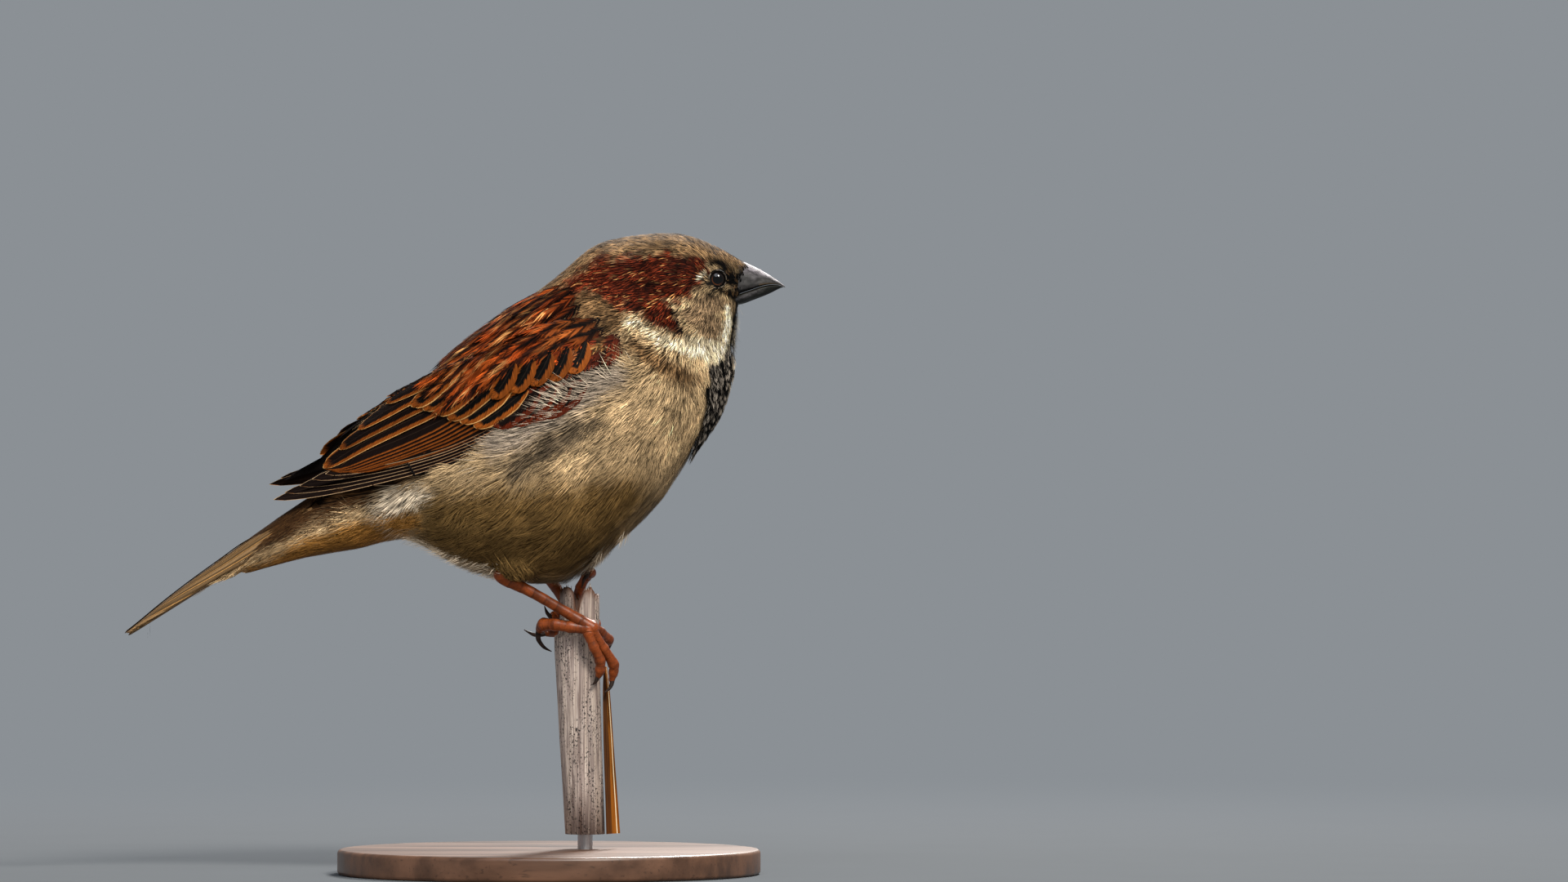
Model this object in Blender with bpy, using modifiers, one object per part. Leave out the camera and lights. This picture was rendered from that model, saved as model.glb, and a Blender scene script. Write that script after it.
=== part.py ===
"""Male house sparrow, life size, on a cut length of reed held by a plain display stand.

Frame: metres, +X is the way the bird faces, +Y is its left, +Z is up, and the origin is the
centre of the base's underside. Sizes in this file are in millimetres, and MM makes them metres.
"""

import math
from collections import namedtuple

import bmesh
import bpy
from mathutils import Vector

MM = 0.001
GAP = 0.3  # clearance between solids that touch

# Display stand
BASE_RADIUS = 42.0
BASE_THICKNESS = 5.0
BASE_EDGE = 0.8
ROD_X = 7.2
ROD_RADIUS = 1.5
ROD_BOTTOM = 2.3
ROD_TOP = 15.7

# Reed: a dry culm that comes out of a leaf sheath below the feet, with a broken, hollow top
REED_CUT_Z = 8.0
REED_AROUND = 22
REED_WALL = 1.0
REED_HOLLOW_FLOOR = 47.0
REED_BREAK_Z = 55.6
ReedRing = namedtuple("ReedRing", "z x radius")
REED_RINGS = (
    ReedRing(REED_CUT_Z, 7.15, 3.9),
    ReedRing(26.0, 6.3, 4.15),
    ReedRing(43.9, 5.55, 4.4),
    ReedRing(47.4, 5.5, 4.4),
    ReedRing(47.9, 5.9, 3.95),
    ReedRing(51.4, 6.1, 3.9),
)

# The leaf beside the reed: a thin channel, from its tip down to the cut
LEAF_THICKNESS = 0.55
LeafSection = namedtuple("LeafSection", "z inner_x fold_x outer_x inner_y fold_y outer_y")
LEAF_SECTIONS = (
    LeafSection(41.2, 10.9, 11.15, 11.5, 0.3, 0.8, 1.2),
    LeafSection(36.0, 10.7, 11.4, 12.1, -0.4, 1.2, 1.9),
    LeafSection(26.0, 10.85, 11.9, 12.8, -1.0, 1.3, 2.6),
    LeafSection(15.0, 11.2, 12.3, 13.6, -1.4, 1.2, 3.0),
    LeafSection(REED_CUT_Z, 11.4, 12.6, 14.1, -1.5, 1.2, 3.2),
)

# Body: cross-sections from the tail coverts to the bill. Each lies in a plane that holds its
# point on the back, its point on the belly and the Y axis. "low" lowers the widest level.
Section = namedtuple("Section", "back_x back_z belly_x belly_z half_width low")
BODY = (
    Section(-63.2, 64.0, -60.1, 59.6, 5.6, 0.02),
    Section(-53.0, 71.3, -48.9, 62.7, 7.0, 0.02),
    Section(-43.9, 77.4, -37.6, 64.6, 8.8, 0.02),
    Section(-36.2, 83.6, -28.6, 66.6, 11.5, 0.03),
    Section(-29.0, 92.0, -20.6, 62.9, 16.0, 0.05),
    Section(-21.2, 101.4, -9.7, 59.0, 19.8, 0.06),
    Section(-13.3, 107.8, 2.9, 58.0, 21.6, 0.06),
    Section(-6.2, 112.9, 13.6, 65.6, 22.0, 0.05),
    Section(-1.1, 116.6, 22.7, 74.7, 21.2, 0.05),
    Section(2.9, 119.8, 28.8, 84.1, 19.4, 0.04),
    Section(6.5, 123.0, 33.4, 90.6, 16.4, 0.03),
    Section(10.2, 125.5, 36.0, 98.5, 13.3, 0.02),
    Section(15.6, 126.7, 36.8, 104.5, 10.5, 0.02),
    Section(21.2, 127.3, 37.3, 108.8, 9.1, 0.01),
    Section(26.4, 127.2, 37.6, 111.1, 7.9, 0.0),
    Section(31.3, 125.6, 37.9, 112.5, 6.8, 0.0),
    Section(35.3, 123.6, 38.1, 113.2, 5.3, 0.0),
    Section(38.0, 121.9, 38.2, 113.6, 3.9, 0.0),
)
BODY_AROUND = 24
BODY_STEPS = 2  # rings between two sections
VENT_CUT = 3.5  # where the thin cuts part the body, counted in sections
SHOULDER_CUT = 9.5
NAPE_CUT = 11.5

# Folded wing: sections from the wrist to the tip, each from its upper edge, along the back,
# to its lower edge, on the flank. Distances out from the middle plane are for one side.
WingSection = namedtuple("WingSection", "upper_x upper_out upper_z lower_x lower_out lower_z bulge thickness")
WING = (
    WingSection(17.0, 16.3, 106.2, 17.4, 17.2, 104.0, 0.1, 1.0),
    WingSection(11.0, 16.4, 109.2, 12.6, 19.8, 100.2, 0.9, 1.8),
    WingSection(2.4, 16.3, 110.0, 4.9, 21.6, 95.6, 1.4, 2.6),
    WingSection(-6.0, 15.2, 107.4, -2.6, 21.7, 90.7, 1.9, 3.0),
    WingSection(-14.3, 12.6, 102.8, -9.9, 20.4, 86.0, 2.3, 3.0),
    WingSection(-23.4, 6.6, 99.3, -18.2, 17.6, 81.4, 2.6, 2.6),
    WingSection(-31.8, 2.2, 94.3, -27.1, 14.0, 78.6, 2.6, 2.2),
    WingSection(-39.5, 1.4, 88.0, -37.2, 10.6, 76.4, 2.0, 1.8),
    WingSection(-46.8, 1.6, 81.4, -45.7, 7.2, 75.4, 1.0, 1.3),
    WingSection(-53.4, 3.2, 74.9, -53.4, 3.9, 74.3, 0.1, 0.6),
)
WING_ACROSS = 6
WING_STEPS = 2
WING_EDGE = 0.6
WING_POCKET = 9.0  # how far the pocket that holds a wing is cut outwards
LEFT_TIP_LIFT = 3.2  # the left wing lies this much higher at its tip

# Tail: an arch of folded feathers, from the coverts to the tip
TAIL_ROOT = (-62.0, 61.7)
TAIL_TIP = (-82.7, 47.9)
TAIL_BOW = 0.5  # its middle stands this much above the line from root to tip
TAIL_NOTCH = 1.8
TAIL_SHEET = 0.7
TailSection = namedtuple("TailSection", "along depth half_width")
TAIL = (
    TailSection(0.0, 5.0, 5.4),
    TailSection(0.35, 3.4, 6.2),
    TailSection(0.65, 2.3, 7.0),
    TailSection(0.9, 1.3, 7.6),
    TailSection(1.0, 0.8, 7.4),
)
TAIL_ACROSS = 8

# Bill: sections of each half, from its ridge to its cutting edge
BillSection = namedtuple("BillSection", "ridge_x ridge_z edge_x edge_z half_width")
UPPER_BILL = (
    BillSection(38.6, 121.6, 38.5, 115.5, 3.7),
    BillSection(40.2, 121.0, 40.1, 116.4, 3.2),
    BillSection(42.0, 120.1, 42.0, 117.3, 2.5),
    BillSection(44.2, 118.7, 44.2, 117.1, 1.5),
    BillSection(45.8, 117.4, 45.7, 116.6, 0.75),
    BillSection(46.9, 116.3, 46.6, 116.0, 0.22),
)
LOWER_BILL = (
    BillSection(38.7, 113.2, 38.6, 115.0, 3.4),
    BillSection(40.4, 113.6, 40.2, 115.9, 2.9),
    BillSection(42.4, 114.5, 42.1, 116.8, 2.2),
    BillSection(44.4, 115.4, 44.2, 116.6, 1.25),
    BillSection(45.6, 115.9, 45.4, 116.2, 0.45),
)
BILL_ACROSS = 10

EYE_RADIUS = 2.2
EYE_CENTRE = (33.3, 5.9, 118.1)

# Thighs: feathered cones from inside the belly to the heel
Thigh = namedtuple("Thigh", "top heel top_radius heel_radius")
THIGH_RIGHT = Thigh((-2.8, -10.0, 66.5), (-8.6, -9.6, 59.4), 5.0, 1.9)
THIGH_LEFT = Thigh((-5.0, 9.0, 66.5), (-0.9, 8.4, 59.8), 5.0, 1.9)

# Legs and feet: each is a smooth tube through a few joints, (x, y, z, radius)
TARSUS_RIGHT = (
    (-8.2, -9.55, 58.65, 1.35),
    (-3.5, -8.3, 56.3, 1.1),
    (3.2, -6.9, 52.4, 1.05),
    (6.7, -6.3, 50.2, 1.3),
)
TARSUS_LEFT = (
    (-0.5, 8.35, 59.1, 1.3),
    (0.9, 7.7, 57.2, 1.1),
    (2.4, 6.9, 55.1, 1.1),
    (3.6, 6.3, 53.6, 1.25),
)
PALM_RADIUS = 1.5
PALM_RIGHT = (8.4, -6.1, 49.1)
PALM_LEFT = (4.6, 6.1, 52.5)
TOES_RIGHT = {
    "hind": ((7.6, -6.4, 48.9, 1.1), (4.4, -6.5, 49.3, 1.15), (1.4, -6.1, 49.7, 1.15), (-0.9, -4.9, 49.7, 1.2), (-1.7, -3.6, 48.7, 0.9)),
    "inner": ((8.6, -5.4, 49.6, 0.95), (10.4, -2.7, 48.1, 0.9), (11.8, 0.2, 46.6, 0.9), (11.9, 1.8, 45.8, 0.6)),
    "middle": ((8.8, -5.9, 48.3, 1.0), (10.9, -4.3, 44.9, 1.0), (12.8, -2.5, 41.8, 0.95), (12.8, -1.8, 40.0, 0.85), (12.5, -1.4, 38.6, 0.5)),
    "outer": ((7.9, -6.6, 48.0, 1.0), (9.0, -6.3, 45.3, 0.95), (10.2, -5.4, 42.6, 0.95), (10.2, -4.9, 40.6, 0.9), (9.9, -4.7, 39.5, 0.6)),
}
TOES_LEFT = {
    "hind": ((3.9, 6.1, 52.2, 1.05), (2.4, 5.9, 51.5, 1.05), (1.0, 4.6, 51.0, 0.95), (0.7, 3.9, 50.9, 0.7)),
    "inner": ((5.0, 6.0, 53.6, 0.95), (6.2, 5.4, 56.8, 0.95), (7.4, 3.9, 59.0, 0.95), (8.3, 1.9, 59.8, 0.95), (8.1, 0.5, 59.5, 0.7)),
    "middle": ((5.5, 6.3, 52.2, 0.95), (7.4, 6.1, 51.0, 0.9), (9.2, 5.2, 49.9, 0.85), (9.7, 4.6, 49.4, 0.6)),
    "outer": ((4.3, 6.5, 51.4, 0.95), (2.7, 6.4, 49.4, 0.95), (0.8, 5.1, 48.0, 0.95), (-0.5, 3.4, 47.8, 0.7)),
}
CLAWS_RIGHT = {
    "hind": ((-2.0, -3.2, 48.0, 0.55), (-1.9, -2.8, 46.6, 0.45), (-0.9, -2.3, 45.1, 0.32), (0.5, -1.9, 44.3, 0.2)),
    "inner": ((11.9, 2.5, 45.1, 0.42), (11.3, 3.5, 44.2, 0.32), (10.3, 4.4, 43.6, 0.2)),
    "middle": ((12.5, -1.6, 37.9, 0.4), (12.0, -1.9, 36.9, 0.3), (11.2, -2.3, 36.2, 0.2)),
    "outer": ((9.6, -4.75, 38.9, 0.42), (9.2, -4.8, 38.2, 0.3), (8.7, -4.85, 37.8, 0.2)),
}
CLAWS_LEFT = {
    "hind": ((0.1, 3.5, 51.2, 0.42), (-0.5, 3.3, 51.9, 0.34), (-0.9, 3.1, 53.1, 0.2)),
    "inner": ((7.6, -0.1, 59.4, 0.42), (6.9, -0.4, 58.3, 0.34), (6.5, -0.5, 56.9, 0.2)),
    "middle": ((10.0, 4.2, 48.9, 0.4), (10.1, 3.6, 48.1, 0.3), (9.8, 3.7, 47.2, 0.2)),
    "outer": ((-1.3, 3.2, 47.6, 0.5), (-3.1, 3.3, 47.5, 0.4), (-4.9, 3.5, 48.4, 0.2)),
}
TUBE_SIDES_RESOLUTION = 2
TUBE_STEPS = 2

# Colour, roughness and metallic of each material
MATERIALS = {
    "crown_feathers": ((0.23, 0.14, 0.07), 0.75, 0.0),
    "neck_feathers": ((0.42, 0.29, 0.17), 0.75, 0.0),
    "body_feathers": ((0.35, 0.25, 0.14), 0.8, 0.0),
    "rump_feathers": ((0.18, 0.12, 0.06), 0.8, 0.0),
    "wing_feathers": ((0.25, 0.08, 0.02), 0.65, 0.0),
    "tail_feathers": ((0.13, 0.09, 0.05), 0.65, 0.0),
    "bill_horn": ((0.05, 0.05, 0.05), 0.35, 0.0),
    "claw_horn": ((0.03, 0.02, 0.015), 0.35, 0.0),
    "eye": ((0.01, 0.006, 0.004), 0.05, 0.0),
    "leg_skin": ((0.3, 0.09, 0.03), 0.5, 0.0),
    "reed": ((0.42, 0.36, 0.31), 0.7, 0.0),
    "leaf": ((0.3, 0.15, 0.03), 0.65, 0.0),
    "stand_wood": ((0.07, 0.035, 0.018), 0.4, 0.0),
    "stand_rod": ((0.55, 0.55, 0.56), 0.3, 1.0),
}


def clear_scene():
    for obj in list(bpy.data.objects):
        bpy.data.objects.remove(obj, do_unlink=True)


def make_collection(name):
    collection = bpy.data.collections.new(name)
    bpy.context.scene.collection.children.link(collection)
    return collection


def make_materials():
    made = {}
    for name, (colour, roughness, metallic) in MATERIALS.items():
        material = bpy.data.materials.new(name)
        material.use_nodes = True
        shader = material.node_tree.nodes["Principled BSDF"]
        shader.inputs["Base Color"].default_value = (*colour, 1.0)
        shader.inputs["Roughness"].default_value = roughness
        shader.inputs["Metallic"].default_value = metallic
        made[name] = material
    return made


def smooth(rows, steps):
    """Catmull-Rom rows through the given ones, with this many steps from each to the next."""
    last = len(rows) - 1
    return [curve_at(rows, i / steps) for i in range(last * steps + 1)]


def curve_at(rows, t):
    """The row at t, counted in rows, on the Catmull-Rom curve through them."""
    last = len(rows) - 1
    i = min(int(t), last - 1)
    u = t - i
    before, start, end, after = (rows[min(max(k, 0), last)] for k in (i - 1, i, i + 1, i + 2))
    return tuple(
        0.5 * (2 * b + (c - a) * u + (2 * a - 5 * b + 4 * c - d) * u * u + (3 * b - a - 3 * c + d) * u**3)
        for a, b, c, d in zip(before, start, end, after)
    )


def place(obj, collection, material):
    collection.objects.link(obj)
    if material:
        obj.data.materials.append(material)
    return obj


def loft(name, rings, collection, material=None):
    """A closed solid through rings of equally many points, with a flat cap at each end."""
    mesh = bmesh.new()
    loops = [[mesh.verts.new(Vector(p) * MM) for p in ring] for ring in rings]
    for near, far in zip(loops, loops[1:]):
        count = len(near)
        for k in range(count):
            after = (k + 1) % count
            mesh.faces.new((near[k], near[after], far[after], far[k]))
    mesh.faces.new(loops[0])
    mesh.faces.new(loops[-1])
    bmesh.ops.recalc_face_normals(mesh, faces=mesh.faces[:])
    data = bpy.data.meshes.new(name)
    mesh.to_mesh(data)
    mesh.free()
    data.shade_smooth()
    data.set_sharp_from_angle(angle=math.radians(50))
    return place(bpy.data.objects.new(name, data), collection, material)


def as_cutter(obj):
    obj.hide_render = True
    obj.display_type = "WIRE"
    return obj


def boolean(obj, other, operation):
    modifier = obj.modifiers.new(f"{operation.lower()}_{other.name}", "BOOLEAN")
    modifier.operation = operation
    modifier.object = other


def body_ring(section):
    """The closed cross-section of the body at one section."""
    back = Vector((section.back_x, 0.0, section.back_z))
    belly = Vector((section.belly_x, 0.0, section.belly_z))
    points = []
    for k in range(BODY_AROUND):
        angle = 2 * math.pi * k / BODY_AROUND
        share = (1 - math.cos(angle)) / 2 + section.low * math.sin(angle) ** 2
        point = back.lerp(belly, share)
        point.y = section.half_width * math.sin(angle)
        points.append(point)
    return points


def body_section(t):
    return Section(*curve_at(BODY, t))


def half_cut(t):
    """Half of GAP as a step in t, where the body's sections lie closest together."""
    step = 0.02
    here, there = body_section(t), body_section(t + step)
    back = math.hypot(there.back_x - here.back_x, there.back_z - here.back_z)
    belly = math.hypot(there.belly_x - here.belly_x, there.belly_z - here.belly_z)
    return 0.5 * GAP * step / min(back, belly)


def body_length(name, start, end, collection, material):
    """One length of the body, between two cuts or from an end of it."""
    last = len(BODY) - 1
    first = start + half_cut(start) if start > 0 else 0.0
    final = end - half_cut(end) if end < last else float(last)
    between = [k / BODY_STEPS for k in range(last * BODY_STEPS + 1)]
    margin = 0.1
    stops = [first] + [t for t in between if first + margin < t < final - margin] + [final]
    return loft(name, [body_ring(body_section(t)) for t in stops], collection, material)


def wing_ring(section, along, side, lift, grow, outward):
    """A wing's closed cross-section: its outer face, then its inner face back again."""
    raised = Vector((0.0, 0.0, lift))
    upper = Vector((section.upper_x, side * section.upper_out, section.upper_z)) + raised
    lower = Vector((section.lower_x, side * section.lower_out, section.lower_z)) + raised
    chord = (lower - upper).normalized()
    normal = chord.cross(along).normalized()
    if normal.y * side < 0:
        normal.negate()
    upper -= chord * grow
    lower += chord * grow
    outer, inner = [], []
    for k in range(WING_ACROSS + 1):
        t = k / WING_ACROSS
        crown = math.sin(math.pi * t)
        middle = upper.lerp(lower, t) + normal * section.bulge * crown
        depth = WING_EDGE + (section.thickness - WING_EDGE) * crown
        outer.append(middle + normal * (grow + outward))
        inner.append(middle - normal * (depth + grow))
    return outer + inner[::-1]


def wing_rings(side, lift, grow=0.0, outward=0.0):
    """The rings of a folded wing. side is -1 on the bird's right and 1 on its left."""
    sections = [WingSection(*row) for row in smooth(WING, WING_STEPS)]
    first, last = sections[0], sections[-1]
    reach = first.upper_x - last.upper_x
    along = Vector((last.upper_x - first.upper_x, 0.0, last.upper_z - first.upper_z)).normalized()
    rings = [
        wing_ring(s, along, side, lift * ((first.upper_x - s.upper_x) / reach) ** 5, grow, outward) for s in sections
    ]
    if grow:
        rings[0] = [p - along * grow for p in rings[0]]
        rings[-1] = [p + along * grow for p in rings[-1]]
    return rings


def tail_rings():
    """The tail's arch, whose ends are notched because the middle feathers are shortest."""
    root = Vector((TAIL_ROOT[0], 0.0, TAIL_ROOT[1]))
    tip = Vector((TAIL_TIP[0], 0.0, TAIL_TIP[1]))
    axis = (tip - root).normalized()
    up = Vector((axis.z, 0.0, -axis.x))
    rings = []
    for row in smooth(TAIL, 2):
        section = TailSection(*row)
        top, under = [], []
        for k in range(TAIL_ACROSS + 1):
            across = 2 * k / TAIL_ACROSS - 1
            notch = TAIL_NOTCH * abs(across) * section.along
            bow = 4 * TAIL_BOW * section.along * (1 - section.along)
            point = root.lerp(tip, section.along) + axis * notch + up * bow
            point.y = across * section.half_width
            arch = (section.depth - TAIL_SHEET) * (1 - across**2) - section.depth / 2
            top.append(point + up * (arch + TAIL_SHEET))
            under.append(point + up * arch)
        rings.append(top + under[::-1])
    return rings


def bill_rings(sections):
    """Half-round rings of one half of the bill, flat at the cutting edges."""
    rings = []
    for row in smooth(sections, 2):
        section = BillSection(*row)
        ridge = Vector((section.ridge_x, 0.0, section.ridge_z))
        edge = Vector((section.edge_x, 0.0, section.edge_z))
        ring = []
        for k in range(BILL_ACROSS + 1):
            angle = math.pi * k / BILL_ACROSS
            point = edge.lerp(ridge, math.sin(angle) ** 0.9)
            point.y = section.half_width * math.cos(angle)
            ring.append(point)
        rings.append(ring)
    return rings


def thigh_rings(thigh, grow=0.0):
    """A cone with rounded ends, across the line from its top to the heel."""
    top, heel = Vector(thigh.top), Vector(thigh.heel)
    axis = (heel - top).normalized()
    across = axis.cross(Vector((0.0, 1.0, 0.0))).normalized()
    depth = axis.cross(across)
    length = (heel - top).length
    stops = ((0.0, 0.6), (0.12, 0.9), (0.35, 1.0), (0.6, 0.85), (0.8, 0.55), (0.93, 0.2), (1.0, 0.0))
    rings = []
    for along, fullness in stops:
        radius = thigh.heel_radius + (thigh.top_radius - thigh.heel_radius) * fullness + grow
        reach = along * length + (2 * along - 1) * grow
        centre = top + axis * reach
        rings.append(
            [
                centre + (across * math.cos(a) + depth * math.sin(a)) * radius
                for a in (2 * math.pi * k / 14 for k in range(14))
            ]
        )
    return rings


def beyond(inner, end, reach):
    """The end joint moved this much further away from the joint inside it."""
    end_point = Vector(end[:3])
    direction = (end_point - Vector(inner[:3])).normalized()
    return (*(end_point + direction * reach), end[3])


def tube(name, joints, collection, material, grow=0.0):
    """A round limb: a curve through its joints that carries its own radius at each."""
    curve = bpy.data.curves.new(name, "CURVE")
    curve.dimensions = "3D"
    curve.bevel_depth = MM
    curve.bevel_resolution = TUBE_SIDES_RESOLUTION
    curve.use_fill_caps = True
    spline = curve.splines.new("POLY")
    rows = smooth(joints, TUBE_STEPS)
    if grow:
        rows = [beyond(rows[1], rows[0], grow), *rows[1:-1], beyond(rows[-2], rows[-1], grow)]
    spline.points.add(len(rows) - 1)
    for point, (x, y, z, radius) in zip(spline.points, rows):
        point.co = (x * MM, y * MM, z * MM, 1.0)
        point.radius = radius + grow
    return place(bpy.data.objects.new(name, curve), collection, material)


def tube_mesh(name, joints, collection, material, grow=0.0):
    """The same limb as a mesh with its caps welded, for cutting and joining."""
    curve = tube(name + "_curve", joints, collection, None, grow)
    bpy.context.view_layer.update()
    graph = bpy.context.evaluated_depsgraph_get()
    data = bpy.data.meshes.new_from_object(curve.evaluated_get(graph))
    welded = bmesh.new()
    welded.from_mesh(data)
    bmesh.ops.remove_doubles(welded, verts=welded.verts[:], dist=0.001 * MM)
    bmesh.ops.recalc_face_normals(welded, faces=welded.faces[:])
    welded.to_mesh(data)
    welded.free()
    made = bpy.data.objects.new(name, data)
    made.matrix_world = curve.matrix_world
    bpy.data.objects.remove(curve, do_unlink=True)
    return place(made, collection, material)


def ball(name, centre, radius, collection, material, segments=14, rings=9):
    mesh = bmesh.new()
    bmesh.ops.create_uvsphere(mesh, u_segments=segments, v_segments=rings, radius=radius * MM)
    data = bpy.data.meshes.new(name)
    mesh.to_mesh(data)
    mesh.free()
    data.shade_smooth()
    made = place(bpy.data.objects.new(name, data), collection, material)
    made.location = Vector(centre) * MM
    return made


def reed_circle(z, x, radius):
    return [
        Vector((x + radius * math.cos(a), radius * math.sin(a), z))
        for a in (2 * math.pi * k / REED_AROUND for k in range(REED_AROUND))
    ]


def broken_height(angle):
    """How high the broken culm stands at an angle round it, from +X towards +Y."""
    near = math.cos(angle + math.pi / 2)
    notch = 3.4 * math.exp(-(((angle - math.radians(262)) / 0.24) ** 2))
    far_dip = 1.6 * math.exp(-(((angle - math.radians(60)) / 0.6) ** 2))
    return REED_BREAK_Z + 0.9 * near - 0.5 * math.cos(angle) + 0.7 * math.sin(5 * angle) - notch - far_dip


def reed_rings(grow=0.0):
    """The reed from the rod's hole round its outside to its broken top and hollow."""
    outside = [reed_circle(r.z, r.x, r.radius + grow) for r in REED_RINGS]
    top_outer = reed_circle(0.0, REED_RINGS[-1].x, REED_RINGS[-1].radius + grow)
    if grow:
        for point in top_outer:
            point.z = REED_BREAK_Z + 3.0
        return [*outside, top_outer]
    bore = ROD_RADIUS + GAP
    hole = [reed_circle(ROD_TOP + GAP, ROD_X, bore), reed_circle(REED_CUT_Z, ROD_X, bore)]
    inner_radius = REED_RINGS[-1].radius - REED_WALL
    top_inner = reed_circle(0.0, REED_RINGS[-1].x, inner_radius)
    for k, (outer, inner) in enumerate(zip(top_outer, top_inner)):
        height = broken_height(2 * math.pi * k / REED_AROUND)
        outer.z = height
        inner.z = height - 0.2
    floor = reed_circle(REED_HOLLOW_FLOOR, REED_RINGS[-1].x, inner_radius - 0.3)
    return [*hole, *outside, top_outer, top_inner, floor]


def leaf_rings():
    """The leaf as a folded strip with a wall of even thickness."""
    rings = []
    for row in smooth(LEAF_SECTIONS, 2):
        section = LeafSection(*row)
        inner = Vector((section.inner_x, section.inner_y, section.z))
        fold = Vector((section.fold_x, section.fold_y, section.z))
        outer = Vector((section.outer_x, section.outer_y, section.z))
        wall = Vector((0.0, LEAF_THICKNESS, 0.0))
        face = [inner, inner.lerp(fold, 0.5), fold, fold.lerp(outer, 0.5), outer]
        rings.append(face + [p + wall for p in face[::-1]])
    return rings


def cylinder(name, x, bottom, top, radius, collection, material=None, segments=48):
    mesh = bmesh.new()
    bmesh.ops.create_cone(
        mesh,
        cap_ends=True,
        segments=segments,
        radius1=radius * MM,
        radius2=radius * MM,
        depth=(top - bottom) * MM,
    )
    data = bpy.data.meshes.new(name)
    mesh.to_mesh(data)
    mesh.free()
    data.shade_smooth()
    data.set_sharp_from_angle(angle=math.radians(40))
    made = place(bpy.data.objects.new(name, data), collection, material)
    made.location = (x * MM, 0.0, (top + bottom) / 2 * MM)
    return made


def build_stand(parts, cutters, materials):
    base = cylinder("stand_base", 0.0, 0.0, BASE_THICKNESS, BASE_RADIUS, parts, materials["stand_wood"])
    edge = base.modifiers.new("rounded_edge", "BEVEL")
    edge.width = BASE_EDGE * MM
    edge.segments = 2
    edge.limit_method = "ANGLE"
    socket = cylinder(
        "rod_socket", ROD_X, ROD_BOTTOM - GAP, BASE_THICKNESS + 1, ROD_RADIUS + GAP, cutters, segments=24
    )
    boolean(base, as_cutter(socket), "DIFFERENCE")
    cylinder("stand_rod", ROD_X, ROD_BOTTOM, ROD_TOP, ROD_RADIUS, parts, materials["stand_rod"], segments=24)


def build_perch(parts, materials):
    loft("perch_reed", reed_rings(), parts, materials["reed"])
    loft("perch_leaf", leaf_rings(), parts, materials["leaf"])


def build_body(parts, cutters, materials):
    """The lengths of the body, with pockets cut for the wings, thighs and eyes."""
    last = len(BODY) - 1
    rump = body_length("rump", 0, VENT_CUT, parts, materials["rump_feathers"])
    trunk = body_length("trunk", VENT_CUT, SHOULDER_CUT, parts, materials["body_feathers"])
    neck = body_length("neck", SHOULDER_CUT, NAPE_CUT, parts, materials["neck_feathers"])
    head = body_length("head", NAPE_CUT, last, parts, materials["crown_feathers"])
    for name, side, lift in (("right", -1, 0.0), ("left", 1, LEFT_TIP_LIFT)):
        loft(f"wing_{name}", wing_rings(side, lift), parts, materials["wing_feathers"])
        pocket = as_cutter(loft(f"wing_pocket_{name}", wing_rings(side, lift, GAP, WING_POCKET), cutters))
        for piece in (rump, trunk, neck):
            boolean(piece, pocket, "DIFFERENCE")
        x, out, z = EYE_CENTRE
        centre = (x, side * out, z)
        ball(f"eye_{name}", centre, EYE_RADIUS, parts, materials["eye"])
        socket = ball(f"eye_socket_{name}", centre, EYE_RADIUS + GAP, cutters, None)
        boolean(head, as_cutter(socket), "DIFFERENCE")
    for name, thigh, tarsus in (("right", THIGH_RIGHT, TARSUS_RIGHT), ("left", THIGH_LEFT, TARSUS_LEFT)):
        cone = loft(f"thigh_{name}", thigh_rings(thigh), parts, materials["body_feathers"])
        thigh_pocket = as_cutter(loft(f"thigh_pocket_{name}", thigh_rings(thigh, GAP), cutters))
        boolean(trunk, thigh_pocket, "DIFFERENCE")
        tarsus_pocket = as_cutter(tube_mesh(f"tarsus_pocket_{name}", tarsus, cutters, None, GAP))
        boolean(trunk, tarsus_pocket, "DIFFERENCE")
        boolean(cone, tarsus_pocket, "DIFFERENCE")
    loft("tail", tail_rings(), parts, materials["tail_feathers"])
    loft("bill_upper", bill_rings(UPPER_BILL), parts, materials["bill_horn"])
    loft("bill_lower", bill_rings(LOWER_BILL), parts, materials["bill_horn"])


def build_legs(parts, cutters, materials):
    """Tarsi, feet with four joined toes, and claws. The feet are cut to lie on the reed."""
    reed_space = as_cutter(loft("reed_space", reed_rings(GAP), cutters))
    sets = (
        ("right", TARSUS_RIGHT, PALM_RIGHT, TOES_RIGHT, CLAWS_RIGHT),
        ("left", TARSUS_LEFT, PALM_LEFT, TOES_LEFT, CLAWS_LEFT),
    )
    for side, tarsus, palm, toes, claws in sets:
        tube(f"tarsus_{side}", tarsus, parts, materials["leg_skin"])
        foot = ball(f"foot_{side}", palm, PALM_RADIUS, parts, materials["leg_skin"], 12, 8)
        for toe, joints in toes.items():
            boolean(foot, as_cutter(tube_mesh(f"toe_{toe}_{side}", joints, cutters, None)), "UNION")
        ankle_space = tube_mesh(f"ankle_space_{side}", tarsus, cutters, None, GAP)
        boolean(foot, as_cutter(ankle_space), "DIFFERENCE")
        boolean(foot, reed_space, "DIFFERENCE")
        for claw, joints in claws.items():
            tube(f"claw_{claw}_{side}", joints, parts, materials["claw_horn"])


def main():
    clear_scene()
    parts = make_collection("house_sparrow")
    cutters = make_collection("cutters")
    materials = make_materials()
    build_stand(parts, cutters, materials)
    build_perch(parts, materials)
    build_body(parts, cutters, materials)
    build_legs(parts, cutters, materials)


main()
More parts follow.
